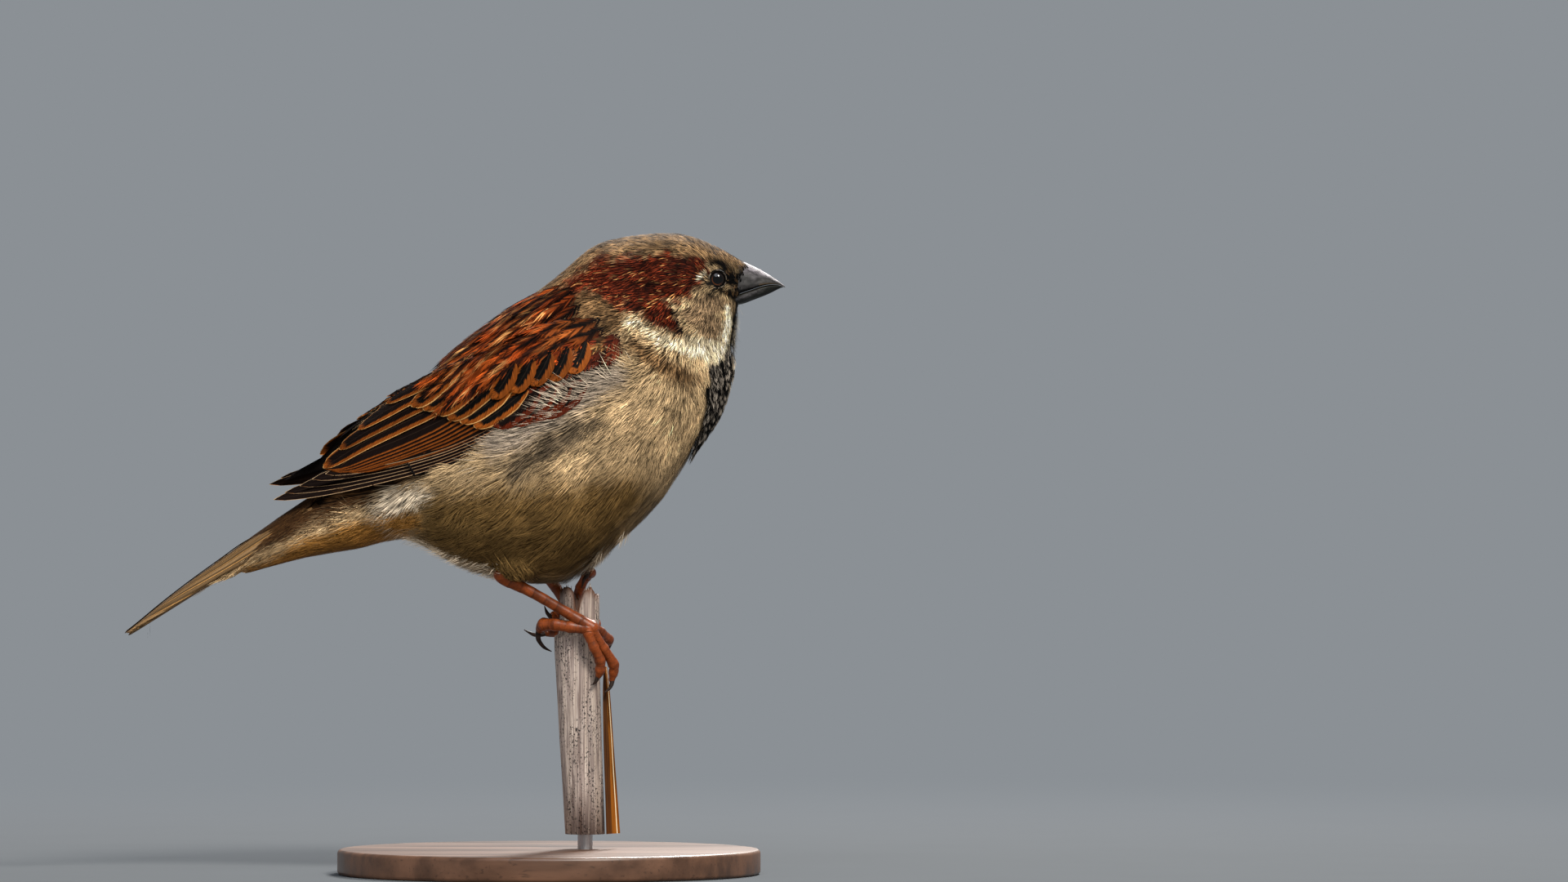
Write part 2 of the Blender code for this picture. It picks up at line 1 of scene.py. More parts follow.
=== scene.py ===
"""Looks of a life-size male house sparrow on a cut reed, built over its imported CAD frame.

Lengths in the tables below are in millimetres, and MM makes them metres. Places on the bird are
given from the centre of its eye: forward, and up. Both sides of the bird carry the same plumage.
"""

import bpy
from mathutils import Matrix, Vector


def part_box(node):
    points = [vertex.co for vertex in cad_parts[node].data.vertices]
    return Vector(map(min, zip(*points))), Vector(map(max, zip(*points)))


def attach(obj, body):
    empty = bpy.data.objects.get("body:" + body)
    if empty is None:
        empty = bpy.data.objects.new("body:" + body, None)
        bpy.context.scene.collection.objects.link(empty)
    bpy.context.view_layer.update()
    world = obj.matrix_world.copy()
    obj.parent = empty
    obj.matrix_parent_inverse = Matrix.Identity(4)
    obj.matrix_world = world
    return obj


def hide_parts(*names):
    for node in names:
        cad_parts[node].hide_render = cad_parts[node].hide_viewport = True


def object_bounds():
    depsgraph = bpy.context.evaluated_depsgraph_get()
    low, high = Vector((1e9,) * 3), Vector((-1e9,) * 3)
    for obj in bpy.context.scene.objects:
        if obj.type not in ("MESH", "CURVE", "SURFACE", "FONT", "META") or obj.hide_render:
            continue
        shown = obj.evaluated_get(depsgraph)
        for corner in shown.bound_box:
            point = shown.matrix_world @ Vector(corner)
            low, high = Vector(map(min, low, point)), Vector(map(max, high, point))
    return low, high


bl_info = {
    "name": "House Sparrow on a Reed",
    "version": (1, 0, 0),
    "blender": (4, 5, 0),
    "location": "3D View > Sidebar > Sparrow",
    "description": "Builds a perched male house sparrow, feather by feather, with its reed and stand",
    "category": "Add Mesh",
}

import functools
import math
from collections import namedtuple

import bmesh
import bpy
import numpy as np
from bpy.props import FloatProperty, FloatVectorProperty, IntProperty, PointerProperty
from mathutils import Vector
from mathutils.bvhtree import BVHTree

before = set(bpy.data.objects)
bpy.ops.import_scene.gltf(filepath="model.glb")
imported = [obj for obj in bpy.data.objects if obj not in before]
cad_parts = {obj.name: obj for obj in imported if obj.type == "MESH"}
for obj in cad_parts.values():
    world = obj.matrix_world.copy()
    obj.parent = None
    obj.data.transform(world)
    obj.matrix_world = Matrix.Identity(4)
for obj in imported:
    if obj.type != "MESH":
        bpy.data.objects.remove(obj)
CAD_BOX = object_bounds()
MM = 0.001
SIDES = (("right", -1.0), ("left", 1.0))
TURN = 2 * math.pi


def rgb(red, green, blue):
    """An sRGB colour, 0 to 255, as a linear one."""
    shares = (red / 255, green / 255, blue / 255)
    return tuple(c / 12.92 if c < 0.04 else ((c + 0.055) / 1.055) ** 2.4 for c in shares)


def node_box(name):
    """A node's lowest and highest corner in millimetres."""
    return [np.array(corner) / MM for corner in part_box(name)]


EYE = (node_box("eye_left")[0] + node_box("eye_left")[1]) / 2
EYE_RADIUS = (node_box("eye_left")[1][0] - node_box("eye_left")[0][0]) / 2
BILL_TIP = node_box("bill_upper")[1][0]
HEIGHT = CAD_BOX[1].z / MM

# ---------------------------------------------------------------- settings


def colour_property(name, description, value):
    return FloatVectorProperty(
        name=name, description=description, subtype="COLOR", size=3, min=0, max=1, default=rgb(*value)
    )


class PlumageColours(bpy.types.PropertyGroup):
    """The colours of the plumage, bill and legs."""

    crown: colour_property("Crown", "Top of the head", (140, 110, 76))
    chestnut: colour_property("Chestnut", "Band behind the eye", (98, 36, 17))
    nape: colour_property("Nape", "Back and sides of the neck", (116, 88, 58))
    cheek: colour_property("Cheek", "Cheek below the eye", (148, 122, 92))
    black: colour_property("Black", "Lores, throat and bib", (7, 6, 5))
    bib: colour_property("Bib edges", "Pale edges of the bib's feathers", (168, 156, 142))
    cream: colour_property("Cream", "Spot behind the eye, and the collar", (255, 236, 196))
    breast: colour_property("Breast", "Breast and sides of the neck", (198, 168, 126))
    flank_pale: colour_property("Pale flank", "Loose feathers along the wing", (180, 162, 142))
    flank_grey: colour_property("Grey flank", "Flank below the loose feathers", (95, 81, 63))
    # Painted shade: the belly's colour is darker than the breast's because the lower belly faces away from the light
    belly: colour_property("Belly", "Lower belly", (114, 88, 50))
    vent: colour_property("Vent", "Fluff in front of the tail", (208, 190, 164))
    undertail: colour_property("Under the tail", "Coverts under the tail", (176, 124, 60))
    rump: colour_property("Rump", "Rump and upper tail coverts", (64, 42, 22))
    rufous: colour_property("Rufous", "Mantle and small coverts", (150, 58, 17))
    golden: colour_property("Golden", "Edges of the wing's large feathers", (110, 55, 15))
    buff: colour_property("Buff", "Tips of the coverts and scapulars", (164, 122, 72))
    flight: colour_property("Flight feathers", "Dark webs of the wing", (15, 8, 6))
    tail: colour_property("Tail", "Webs of the tail feathers", (120, 94, 64))
    bill: colour_property("Bill", "Horn of the bill", (48, 46, 46))
    leg: colour_property("Leg", "Skin of the legs and feet", (116, 54, 20))
    claw: colour_property("Claw", "Horn of the claws", (38, 26, 20))


class PlumageSizes(bpy.types.PropertyGroup):
    """How fine and how close the feathers are."""

    hull_voxel: FloatProperty(
        name="Form detail", description="Grain of the body's form", default=0.7 * MM, unit="LENGTH"
    )
    closeness: FloatProperty(name="Closeness", description="Spacing of the tufts", default=1.0, min=0.5, max=3)
    seed: IntProperty(name="Seed", description="Changes where each tuft grows", default=7, min=0)


class PerchSettings(bpy.types.PropertyGroup):
    """The reed, its leaf and the display stand."""

    reed: colour_property("Reed", "Weathered skin of the reed", (128, 113, 106))
    reed_inside: colour_property("Reed inside", "Broken edge and hollow", (84, 46, 18))
    leaf: colour_property("Leaf", "Dry leaf beside the reed", (112, 60, 10))
    wood: colour_property("Base", "Wood of the base", (84, 58, 42))
    backdrop: colour_property("Backdrop", "Floor and background", (139, 144, 149))
    view_width: FloatProperty(
        name="View width", description="Width of the view at the bird", default=311.04 * MM, unit="LENGTH"
    )


def colours():
    return bpy.context.scene.sparrow_colours


def sizes():
    return bpy.context.scene.sparrow_sizes


def perch():
    return bpy.context.scene.sparrow_perch


def dye(name):
    """One of the plumage's colours."""
    return np.array(getattr(colours(), name))


# ---------------------------------------------------------------- lie and markings

# How the coat lies: at a place (x, z), the way its tufts point, their length, how deep the coat
# is there and how far the tips stand off.
Lie = namedtuple("Lie", "coat x z forward up length depth proud")
LIE_ROWS = {
    "face": (
        (5.4, 3.2, -0.45, 0.88, 1.5, 0.4, 0.2),
        (6.2, 0.8, -0.15, 1.0, 1.3, 0.4, 0.2),
        (4.6, 0.9, -0.35, 0.9, 1.3, 0.4, 0.15),
        (5.4, -1.9, 0.65, -0.75, 1.5, 0.35, 0.2),
        (4.6, -3.9, 0.6, -0.8, 1.5, 0.4, 0.2),
        (4.8, -5.6, 0.2, -0.98, 1.8, 0.4, 0.3),
        (2.6, 4.2, -0.75, 0.65, 1.6, 0.4, 0.15),
        (1.0, 2.9, -0.9, 0.35, 1.5, 0.4, 0.0),
        (3.0, -0.6, -0.85, -0.1, 1.3, 0.35, 0.0),
        (-1.2, -5.3, -0.62, -0.78, 2.0, 0.5, 0.1),
        (3.4, -4.2, -0.5, -0.85, 1.5, 0.4, 0.1),
        (3.0, -7.8, -0.1, -1.0, 2.2, 0.5, 0.25),
    ),
    "crown": (
        (-0.9, 6.5, -0.9, 0.42, 2.1, 0.5, 0.05),
        (-9.3, 8.4, -1.0, 0.05, 2.6, 0.6, 0.1),
        (-19.0, 7.5, -0.97, -0.25, 3.0, 0.7, 0.15),
        (-12.6, -0.5, -0.9, -0.45, 2.8, 0.7, 0.15),
        (-9.0, -7.0, -0.72, -0.7, 2.8, 0.8, 0.2),
    ),
    "nape": (
        (-26.3, 3.2, -0.85, -0.5, 4.0, 0.9, 0.2),
        (-12.6, -11.3, -0.85, -0.55, 4.0, 1.0, 0.2),
        (-20.7, -7.8, -0.86, -0.5, 4.2, 1.0, 0.2),
        (-30.4, -1.3, -0.82, -0.57, 4.4, 1.0, 0.2),
    ),
    "breast": (
        (-0.4, -14.6, 0.3, -0.95, 4.2, 1.0, 0.3),
        (-0.3, -23.2, 0.25, -0.97, 5.0, 1.2, 0.35),
        (-2.8, -31.3, -0.25, -0.97, 5.6, 1.4, 0.35),
        (-12.6, -20.7, -0.7, -0.7, 5.2, 1.3, 0.3),
        (-22.3, -30.5, -0.75, -0.66, 6.4, 1.5, 0.4),
    ),
    "flank": (
        (-16.5, -18.2, -0.98, 0.12, 6.0, 1.5, 1.1),
        (-23.1, -17.5, -0.94, 0.34, 7.5, 1.7, 1.5),
        (-30.4, -21.5, -0.98, 0.15, 8.5, 1.8, 1.5),
        (-38.5, -29.5, -0.96, -0.1, 8.0, 1.8, 1.3),
        (-46.6, -35.2, -0.85, -0.5, 7.0, 1.6, 0.8),
    ),
    "belly": (
        (-17.4, -41.8, -0.55, -0.84, 6.4, 1.5, 0.35),
        (-28.8, -49.9, -0.65, -0.76, 6.8, 1.6, 0.45),
        (-42.5, -53.1, -0.76, -0.65, 6.8, 1.6, 0.6),
        (-50.2, -45.0, -0.8, -0.6, 6.4, 1.5, 0.4),
        (-36.0, -40.0, -0.72, -0.7, 6.8, 1.6, 0.4),
    ),
    "vent": (
        (-57.9, -47.5, -0.93, -0.35, 6.4, 1.4, 0.4),
        (-72.5, -51.8, -0.97, -0.22, 7.5, 1.2, 0.2),
        (-88.7, -56.4, -0.88, -0.45, 8.5, 0.9, 0.1),
        (-80.6, -44.2, -0.84, -0.53, 7.5, 1.0, 0.15),
        (-62.0, -34.0, -0.85, -0.53, 7.0, 1.2, 0.15),
    ),
}
LIES = [Lie(coat, *row) for coat, rows in LIE_ROWS.items() for row in rows]

# Each coat's spacing, barbs in a tuft, barb half-width and fan (both as a share of length), the
# share of barbs that come to the surface early and show most of their length, and how strongly
# the shades of its tufts differ
Coat = namedtuple("Coat", "spacing barbs half_width fan early contrast")
COATS = {
    "face": Coat(0.42, 5, 0.036, 0.20, 0.15, 1.2),
    "crown": Coat(0.62, 5, 0.040, 0.17, 0.1, 1.15),
    "nape": Coat(0.76, 9, 0.020, 0.18, 0.25, 1.15),
    "breast": Coat(0.80, 12, 0.0125, 0.19, 0.35, 0.85),
    "flank": Coat(0.82, 15, 0.0070, 0.17, 0.45, 0.7),
    "belly": Coat(0.86, 12, 0.0098, 0.18, 0.40, 0.5),
    "vent": Coat(0.86, 12, 0.0105, 0.20, 0.35, 0.75),
    "wisps": Coat(1.30, 6, 0.0090, 0.36, 1.0, 1.0),
    "fringe": Coat(0.85, 5, 0.0240, 0.16, 0.8, 0.4),
    "thigh": Coat(0.60, 9, 0.0180, 0.22, 0.3, 1.0),
    "bib": Coat(0.95, 14, 0.0260, 0.13, 0.0, 0.5),
    "mantle": Coat(1.50, 18, 0.0160, 0.20, 0.0, 1.0),
    "lesser": Coat(1.20, 18, 0.0240, 0.30, 0.0, 1.0),
}
PLUMES = ("mantle", "lesser", "bib")  # coats of small whole feathers, not of tufts
# Painted backlight: the fringe and the wisps glow a little, as if the sun shone through them from behind
COAT_PAINTED_BACKLIGHT = {"fringe": 0.55, "wisps": 0.12}
TUFT_TURN = 0.22

# A stroke of a soft brush: how soft its rim is, its path as (forward, up, half-width), and how
# far out from the middle plane it reaches
ENDLESS = 99
Stroke = namedtuple("Stroke", "soft path reach", defaults=(ENDLESS,))

# Markings, laid over each other in this order
MARKINGS = [
    (colour, Stroke(*stroke))
    for colour, *stroke in (
        ("nape", 3.0, ((-21.5, -7.0, 4.5), (-27.3, -3.7, 4.0), (-30.4, 0.5, 4.0))),
        # Painted shade: the darker belly colour, laid over the lower belly
        ("belly", 8.0, ((-51.4, -48.3, 8.0), (-40.1, -50.3, 11.5), (-28.8, -49.1, 10.5), (-17.0, -42.0, 5.0))),
        ("flank_pale", 3.5, ((-19.0, -19.0, 2.4), (-25.5, -20.7, 3.9), (-32.0, -25.6, 4.2), (-42.1, -31.5, 3.2))),
        ("flank_grey", 3.0, ((-22.5, -27.4, 1.6), (-30.8, -31.5, 2.4), (-38.9, -37.3, 1.6))),
        (
            "rump",
            3.0,
            ((-60.0, -36.0, 4.0), (-70.5, -41.6, 3.6), (-80.6, -45.8, 3.6), (-92.0, -50.5, 4.0), (-99.0, -56.0, 3.0)),
        ),
        ("rump", 3.0, ((-42.0, -9.0, 3.0), (-50.0, -14.5, 5.0), (-62.0, -23.0, 5.0))),
        ("rump", 3.0, ((-50.0, -19.0, 3.0), (-60.0, -27.0, 4.5), (-72.0, -35.0, 4.5), (-82.0, -42.0, 4.0))),
        (
            "undertail",
            2.0,
            ((-60.0, -47.6, 2.5), (-69.3, -50.6, 3.2), (-77.4, -53.0, 2.7), (-88.5, -57.6, 2.2), (-98.0, -63.0, 2.0)),
        ),
        ("vent", 1.6, ((-55.9, -42.0, 1.3), (-61.5, -42.8, 2.1), (-66.0, -45.4, 1.5))),
        ("crown", 1.2, ((4.8, 3.2, 1.4), (1.2, 5.2, 2.4), (-2.8, 6.8, 3.1), (-15.8, 7.2, 3.4), (-26.8, 2.9, 3.0))),
        ("nape", 3.0, ((-16.0, -12.5, 1.6), (-10.0, -16.5, 2.0), (-5.0, -19.0, 1.6))),
        (
            "cream",
            1.6,
            ((-16.8, -8.0, 0.3), (-11.6, -10.4, 0.6), (-6.8, -12.4, 1.1), (-1.4, -13.2, 2.1), (3.0, -14.2, 2.8)),
        ),
        (
            "chestnut",
            1.4,
            (
                *((-2.7, 1.9, 1.7), (-4.7, 1.2, 3.0), (-8.0, 0.5, 4.5)),
                *((-16.6, -0.4, 5.4), (-23.0, 0.4, 2.9), (-27.0, 0.2, 1.6)),
            ),
        ),
        ("chestnut", 2.0, ((-22.0, 3.6, 1.6), (-28.0, -1.5, 1.8), (-31.5, -4.5, 1.2))),
        ("chestnut", 1.0, ((-15.0, -3.6, 2.8), (-11.0, -6.2, 2.4), (-8.4, -8.2, 1.5), (-6.7, -9.7, 0.8))),
        ("cheek", 1.0, ((1.5, -4.2, 1.2), (-1.9, -5.0, 2.6), (-4.1, -6.8, 2.0), (-1.2, -8.8, 2.4), (1.0, -10.0, 1.6))),
        ("cream", 0.9, ((2.1, -5.0, 0.2), (2.6, -7.4, 0.7), (2.4, -10.6, 1.1))),
        ("black", 0.6, ((0.3, 0.1, 1.75), (2.2, 1.0, 1.2), (4.2, -0.4, 1.6), (5.6, -2.0, 2.0))),
        ("black", 0.9, ((4.2, 0.2, 1.2), (6.6, 1.0, 1.7), (6.8, 2.2, 1.0))),
        ("black", 1.2, ((-1.6, -2.2, 0.5), (0.9, -2.3, 0.7), (3.2, -2.6, 1.0), (5.0, -4.2, 1.4))),
        ("black", 0.5, ((-1.9, 2.0, 0.35), (-1.0, 2.95, 0.45), (0.7, 3.3, 0.4), (2.0, 2.4, 0.5))),
        ("cream", 0.4, ((-2.3, 0.9, 0.5), (-3.1, 0.3, 0.45))),
        ("black", 0.6, ((-8.2, -6.2, 0.3), (-7.2, -8.2, 0.6), (-6.1, -10.0, 0.5))),
        (
            "black",
            1.0,
            ((4.6, -4.6, 2.4), (4.0, -7.5, 1.7), (3.6, -11.0, 1.2), (2.6, -15.0, 1.4), (1.4, -18.5, 1.8)),
            3.8,
        ),
        (
            "bib",
            1.6,
            ((2.6, -14.6, 1.0), (0.8, -18.4, 2.6), (0.2, -22.6, 4.2), (-1.0, -26.8, 3.8), (-2.6, -31.0, 1.8)),
            9.2,
        ),
    )
]


def marked(colour):
    """The strokes of one colour."""
    return [stroke for name, stroke in MARKINGS if name == colour]


# Where feathers end on the bill: height from the eye, and how far forward
BILL_EDGE = ((-6.0, 4.3), (-4.6, 4.2), (-3.2, 3.6), (-1.4, 4.7), (0.6, 5.2), (2.0, 6.0), (2.8, 6.5), (4.0, 4.9))

# Where the flank lies over the folded wing, and where single long barbs stand out from it
OVERLAP_PATH = (
    *((-14.5, -18.4, 2.4), (-23.5, -23.2, 2.6), (-33.0, -29.8, 2.4)),
    *((-42.0, -35.2, 2.2), (-50.5, -39.2, 2.0), (-57.0, -41.5, 1.4)),
)
OVERLAP = (Stroke(1.0, OVERLAP_PATH),)
WISPS_PATH = ((-14.0, -16.4, 1.4), (-22.0, -20.2, 1.4), (-31.0, -26.2, 1.4), (-39.0, -31.4, 1.3), (-45.5, -35.8, 1.0))
WISPS = (Stroke(1.0, WISPS_PATH),)

# Dark bristles at the bill, and the feathers round the thigh
BRISTLES = (Stroke(0.7, ((2.7, -0.9, 0.5), (3.3, -2.6, 0.7), (3.4, -3.8, 0.5))),)
THIGH = (Stroke(1.0, ((-46.0, -54.5, 1.8), (-42.5, -55.5, 2.6), (-38.5, -57.0, 2.0))),)

# White fringes that stand out under the chin, the belly and the vent; they glow as painted backlight
FRINGE = (
    Stroke(0.8, ((5.0, -5.6, 0.9), (4.4, -9.0, 1.0), (3.2, -15.0, 0.9), (0.0, -25.0, 0.8)), 1.6),
    Stroke(0.8, ((-16.8, -50.0, 0.7), (-17.8, -50.8, 0.7)), 7.0),
    Stroke(0.8, ((-21.6, -53.8, 0.9), (-23.6, -55.0, 1.0)), 7.0),
    Stroke(1.0, ((-38.0, -58.0, 2.0), (-45.0, -57.8, 2.4), (-52.0, -55.2, 2.4), (-58.5, -52.0, 1.8)), 10.0),
    Stroke(1.0, ((-56.5, -42.5, 1.2), (-64.0, -44.0, 1.4))),
)

# Loose fringes whose tips are white: partly the pale feathers' own colour, partly painted backlight
FLUFF = (
    Stroke(1.0, ((4.6, -5.5, 1.0), (4.2, -9.0, 1.2), (3.6, -13.0, 1.0), (3.0, -17.0, 1.0)), 2.2),
    Stroke(2.0, ((-62.0, -48.5, 1.0), (-53.0, -50.5, 1.6), (-46.0, -55.5, 2.2), (-40.0, -58.5, 1.6)), 9.0),
    Stroke(2.0, ((-27.0, -57.0, 1.5), (-20.0, -52.0, 1.5)), 6.0),
)

# Where the streaked feathers of the back, and the plain ones of the shoulder, grow
MANTLE_PATH = (
    *((-27.5, -2.0, 1.6), (-30.5, -3.2, 2.6), (-36.2, -7.6, 5.0)),
    *((-42.0, -12.4, 5.4), (-47.0, -16.0, 3.6), (-50.0, -18.6, 2.0)),
)
MANTLE = (Stroke(1.6, MANTLE_PATH), Stroke(1.0, ((-22.5, -8.2, 1.2), (-30.0, -9.4, 2.4), (-38.0, -12.0, 2.8))))
LESSER = (Stroke(1.0, ((-19.5, -12.6, 1.9), (-24.0, -12.8, 2.6), (-30.0, -12.4, 2.2), (-34.0, -12.4, 1.4))),)


def from_eye(points):
    """Points in metres as millimetres forward, out and up from the eye's level and the middle plane."""
    places = points / MM - np.array((EYE[0], 0.0, EYE[2]))
    places[:, 1] = np.abs(places[:, 1])
    return places


def waves(points, size, seed):
    """Smooth noise, about -1 to 1, with blots this many millimetres across."""
    random = np.random.default_rng(seed)
    made = np.zeros(len(points))
    for _ in range(7):
        way = random.normal(size=3)
        way *= random.uniform(0.6, 1.6) * math.pi / size / np.linalg.norm(way)
        made += np.sin(points / MM @ way + random.uniform(0, TURN))
    return made / 2.6


def stroke_cover(stroke, places):
    """How far a stroke covers each place, from 0 to 1. Places are from the eye, in millimetres."""
    flat = places[:, (0, 2)]
    nearest = np.full(len(places), 1e9)
    for (x0, z0, r0), (x1, z1, r1) in zip(stroke.path, stroke.path[1:]):
        start, step = np.array((x0, z0)), np.array((x1 - x0, z1 - z0))
        along = np.clip(((flat - start) @ step) / (step @ step), 0, 1)
        gap = np.linalg.norm(flat - start - along[:, None] * step, axis=1) - (r0 + (r1 - r0) * along)
        nearest = np.minimum(nearest, gap)
    if stroke.reach < ENDLESS:
        top, bottom = stroke.path[0][1], stroke.path[-1][1]
        low = np.clip((top - places[:, 2]) / (top - bottom), 0, 1)
        narrowing = 0.75 * low**2 * (stroke.reach > 6)
        nearest = np.maximum(nearest, np.abs(places[:, 1]) - stroke.reach * (1 + 0.3 * low - narrowing))
    nearest += waves(places * MM, 1.1, 8) * min(0.45, 0.4 * stroke.soft)
    share = np.clip(0.5 - nearest / stroke.soft, 0, 1)
    return share * share * (3 - 2 * share)


def region_cover(strokes, points):
    """How far any of the strokes covers points in metres."""
    places = from_eye(points)
    return np.max([stroke_cover(stroke, places) for stroke in strokes], axis=0)


def blend(first, second, share):
    """Mixes colours, by a share for each row."""
    return first * (1 - share)[:, None] + second * share[:, None]


def plumage_colour(points):
    """The colour of the plumage at points in metres."""
    places = from_eye(points)
    made = np.tile(dye("breast"), (len(places), 1))
    for colour, stroke in MARKINGS:
        made = blend(made, dye(colour), stroke_cover(stroke, places))
    return made


def back_streaks(points):
    """How black, and how pale, the long streaks of the back are at each point."""
    places = from_eye(points)
    over = places @ np.array((-0.60, -0.8, 0.80))
    run = places @ np.array((-0.80, 0.0, -0.60))
    flat = np.column_stack((run / 3.5, over, 0 * run)) * MM
    stripe = np.sin(TURN * (over / 2.6 + 0.25 * waves(points, 9.0, 31))) + 0.75 * waves(flat, 1.4, 33)
    return np.clip((stripe - 0.15) / 0.3, 0, 1), np.clip((-0.8 - stripe) / 0.4, 0, 1)


def lie_shares(points):
    """How much each row of LIES counts at each point."""
    flat = from_eye(points)[:, (0, 2)]
    rows = np.array([(lie.x, lie.z) for lie in LIES])
    away = ((flat[:, None, :] - rows[None]) ** 2).sum(axis=2)
    shares = 1 / (away + 4.0) ** 2
    return shares / shares.sum(axis=1, keepdims=True)


# ---------------------------------------------------------------- meshes


def new_mesh(name, points, faces, smooth=True):
    """A mesh from arrays of points in metres and of faces with equally many corners."""
    mesh = bpy.data.meshes.new(name)
    points, faces = np.asarray(points, np.float32), np.asarray(faces, np.int32)
    corners = faces.shape[1]
    mesh.vertices.add(len(points))
    mesh.vertices.foreach_set("co", points.ravel())
    mesh.loops.add(faces.size)
    mesh.loops.foreach_set("vertex_index", faces.ravel())
    mesh.polygons.add(len(faces))
    mesh.polygons.foreach_set("loop_start", np.arange(0, faces.size, corners, dtype=np.int32))
    mesh.polygons.foreach_set("use_smooth", np.full(len(faces), smooth))
    mesh.update(calc_edges=True)
    mesh.validate()
    return mesh


def set_values(mesh, name, kind, values):
    """Stores an attribute, given one row for each point."""
    attribute = mesh.attributes.get(name) or mesh.attributes.new(name, kind, "POINT")
    field = {"FLOAT": "value", "FLOAT_VECTOR": "vector", "FLOAT_COLOR": "color"}[kind]
    values = np.asarray(values, np.float32)
    if kind == "FLOAT_COLOR" and values.shape[1] == 3:
        values = np.column_stack((values, np.ones(len(values), np.float32)))
    attribute.data.foreach_set(field, values.ravel())


def set_numbers(mesh, rows):
    """Stores several attributes of one number for each point."""
    for name, values in rows.items():
        set_values(mesh, name, "FLOAT", values)


def field_of(data, field, width, kind=np.float32):
    """One field of all of a mesh's points or corners, a row for each."""
    made = np.empty(len(data) * width, kind)
    data.foreach_get(field, made)
    return made.reshape(-1, width) if width > 1 else made


def get_values(mesh, name, width):
    return field_of(mesh.attributes[name].data, "value" if width == 1 else "vector", width)


def points_of(mesh):
    return field_of(mesh.vertices, "co", 3).astype(np.float64)


def normals_of(mesh):
    return field_of(mesh.vertex_normals, "vector", 3).astype(np.float64)


def corners_of(mesh):
    return field_of(mesh.loops, "vertex_index", 1, np.int32)


def move_points(mesh, points):
    mesh.vertices.foreach_set("co", points.astype(np.float32).ravel())
    mesh.update()


def set_uv(mesh, name, values):
    """Stores a UV map, given one place for each point."""
    layer = mesh.uv_layers.get(name) or mesh.uv_layers.new(name=name)
    layer.data.foreach_set("uv", np.asarray(values, np.float32)[corners_of(mesh)].ravel())


def smooth(mesh, sharp=None):
    """Shades a mesh smooth, apart from edges that turn by more than this many degrees."""
    mesh.polygons.foreach_set("use_smooth", np.full(len(mesh.polygons), True))
    if sharp:
        mesh.set_sharp_from_angle(angle=math.radians(sharp))
    return mesh


def as_bmesh(mesh):
    made = bmesh.new()
    made.from_mesh(mesh)
    made.verts.ensure_lookup_table()
    return made


def from_bmesh(made, mesh, sharp=None):
    """Turns a bmesh's faces outwards and stores it in a mesh, shaded smooth."""
    bmesh.ops.recalc_face_normals(made, faces=made.faces[:])
    made.to_mesh(mesh)
    made.free()
    return smooth(mesh, sharp)


def angles_round(around):
    return np.arange(around) * 2 * math.pi / around


def tube_faces(around, count):
    """Quads between rings of points stored ring by ring."""
    return [
        (row + k, row + (k + 1) % around, row + around + (k + 1) % around, row + around + k)
        for row in range(0, (count - 1) * around, around)
        for k in range(around)
    ]


def grid_faces(wide, high):
    """Quads between the points of a grid stored row by row."""
    a = (np.arange(high - 1)[:, None] * wide + np.arange(wide - 1)[None]).ravel()
    return np.column_stack((a, a + 1, a + wide + 1, a + wide))


def quads_as_triangles(faces):
    return np.concatenate((faces[:, :3], faces[:, (0, 2, 3)]))


def add_object(name, mesh, material=None):
    made = bpy.data.objects.new(name, mesh)
    bpy.context.scene.collection.objects.link(made)
    if material:
        mesh.materials.clear()
        mesh.materials.append(material)
    return made


def evaluated_mesh(made):
    """The object's mesh with its modifiers applied. The object itself goes."""
    bpy.context.view_layer.update()
    graph = bpy.context.evaluated_depsgraph_get()
    mesh = bpy.data.meshes.new_from_object(made.evaluated_get(graph), depsgraph=graph)
    bpy.data.objects.remove(made, do_unlink=True)
    return mesh


def piece(name, mesh, material, replaces=()):
    """A finished piece: it rides on the body, and stands for the nodes it replaces."""
    made = add_object(name, mesh, material)
    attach(made, "root")
    if replaces:
        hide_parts(*replaces)
    return made


def node_mesh(names, grow=0.0):
    """Copies of CAD nodes, welded, joined and grown outwards by this many millimetres."""
    joined = bmesh.new()
    for name in names:
        one = as_bmesh(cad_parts[name].data)
        bmesh.ops.remove_doubles(one, verts=one.verts[:], dist=0.01 * MM)
        bmesh.ops.recalc_face_normals(one, faces=one.faces[:])
        one.normal_update()
        offsets = [vert.normal * grow * MM for vert in one.verts]
        for vert, offset in zip(one.verts, offsets):
            vert.co += offset
        mesh = bpy.data.meshes.new("grown")
        one.to_mesh(mesh)
        one.free()
        joined.from_mesh(mesh)
        bpy.data.meshes.remove(mesh)
    mesh = bpy.data.meshes.new("joined")
    joined.to_mesh(mesh)
    joined.free()
    return mesh


def melted(names, grow, voxel, rounds, name="melted"):
    """One smooth closed surface round all these nodes."""
    made = add_object(name, node_mesh(names, grow))
    remesh = made.modifiers.new("one_surface", "REMESH")
    remesh.mode = "VOXEL"
    remesh.voxel_size = voxel * MM
    even = made.modifiers.new("even", "SMOOTH")
    even.factor = 0.5
    even.iterations = rounds
    mesh = smooth(evaluated_mesh(made))
    mesh.update()
    return mesh


def search_tree(mesh):
    made = as_bmesh(mesh)
    tree = BVHTree.FromBMesh(made)
    made.free()
    return tree


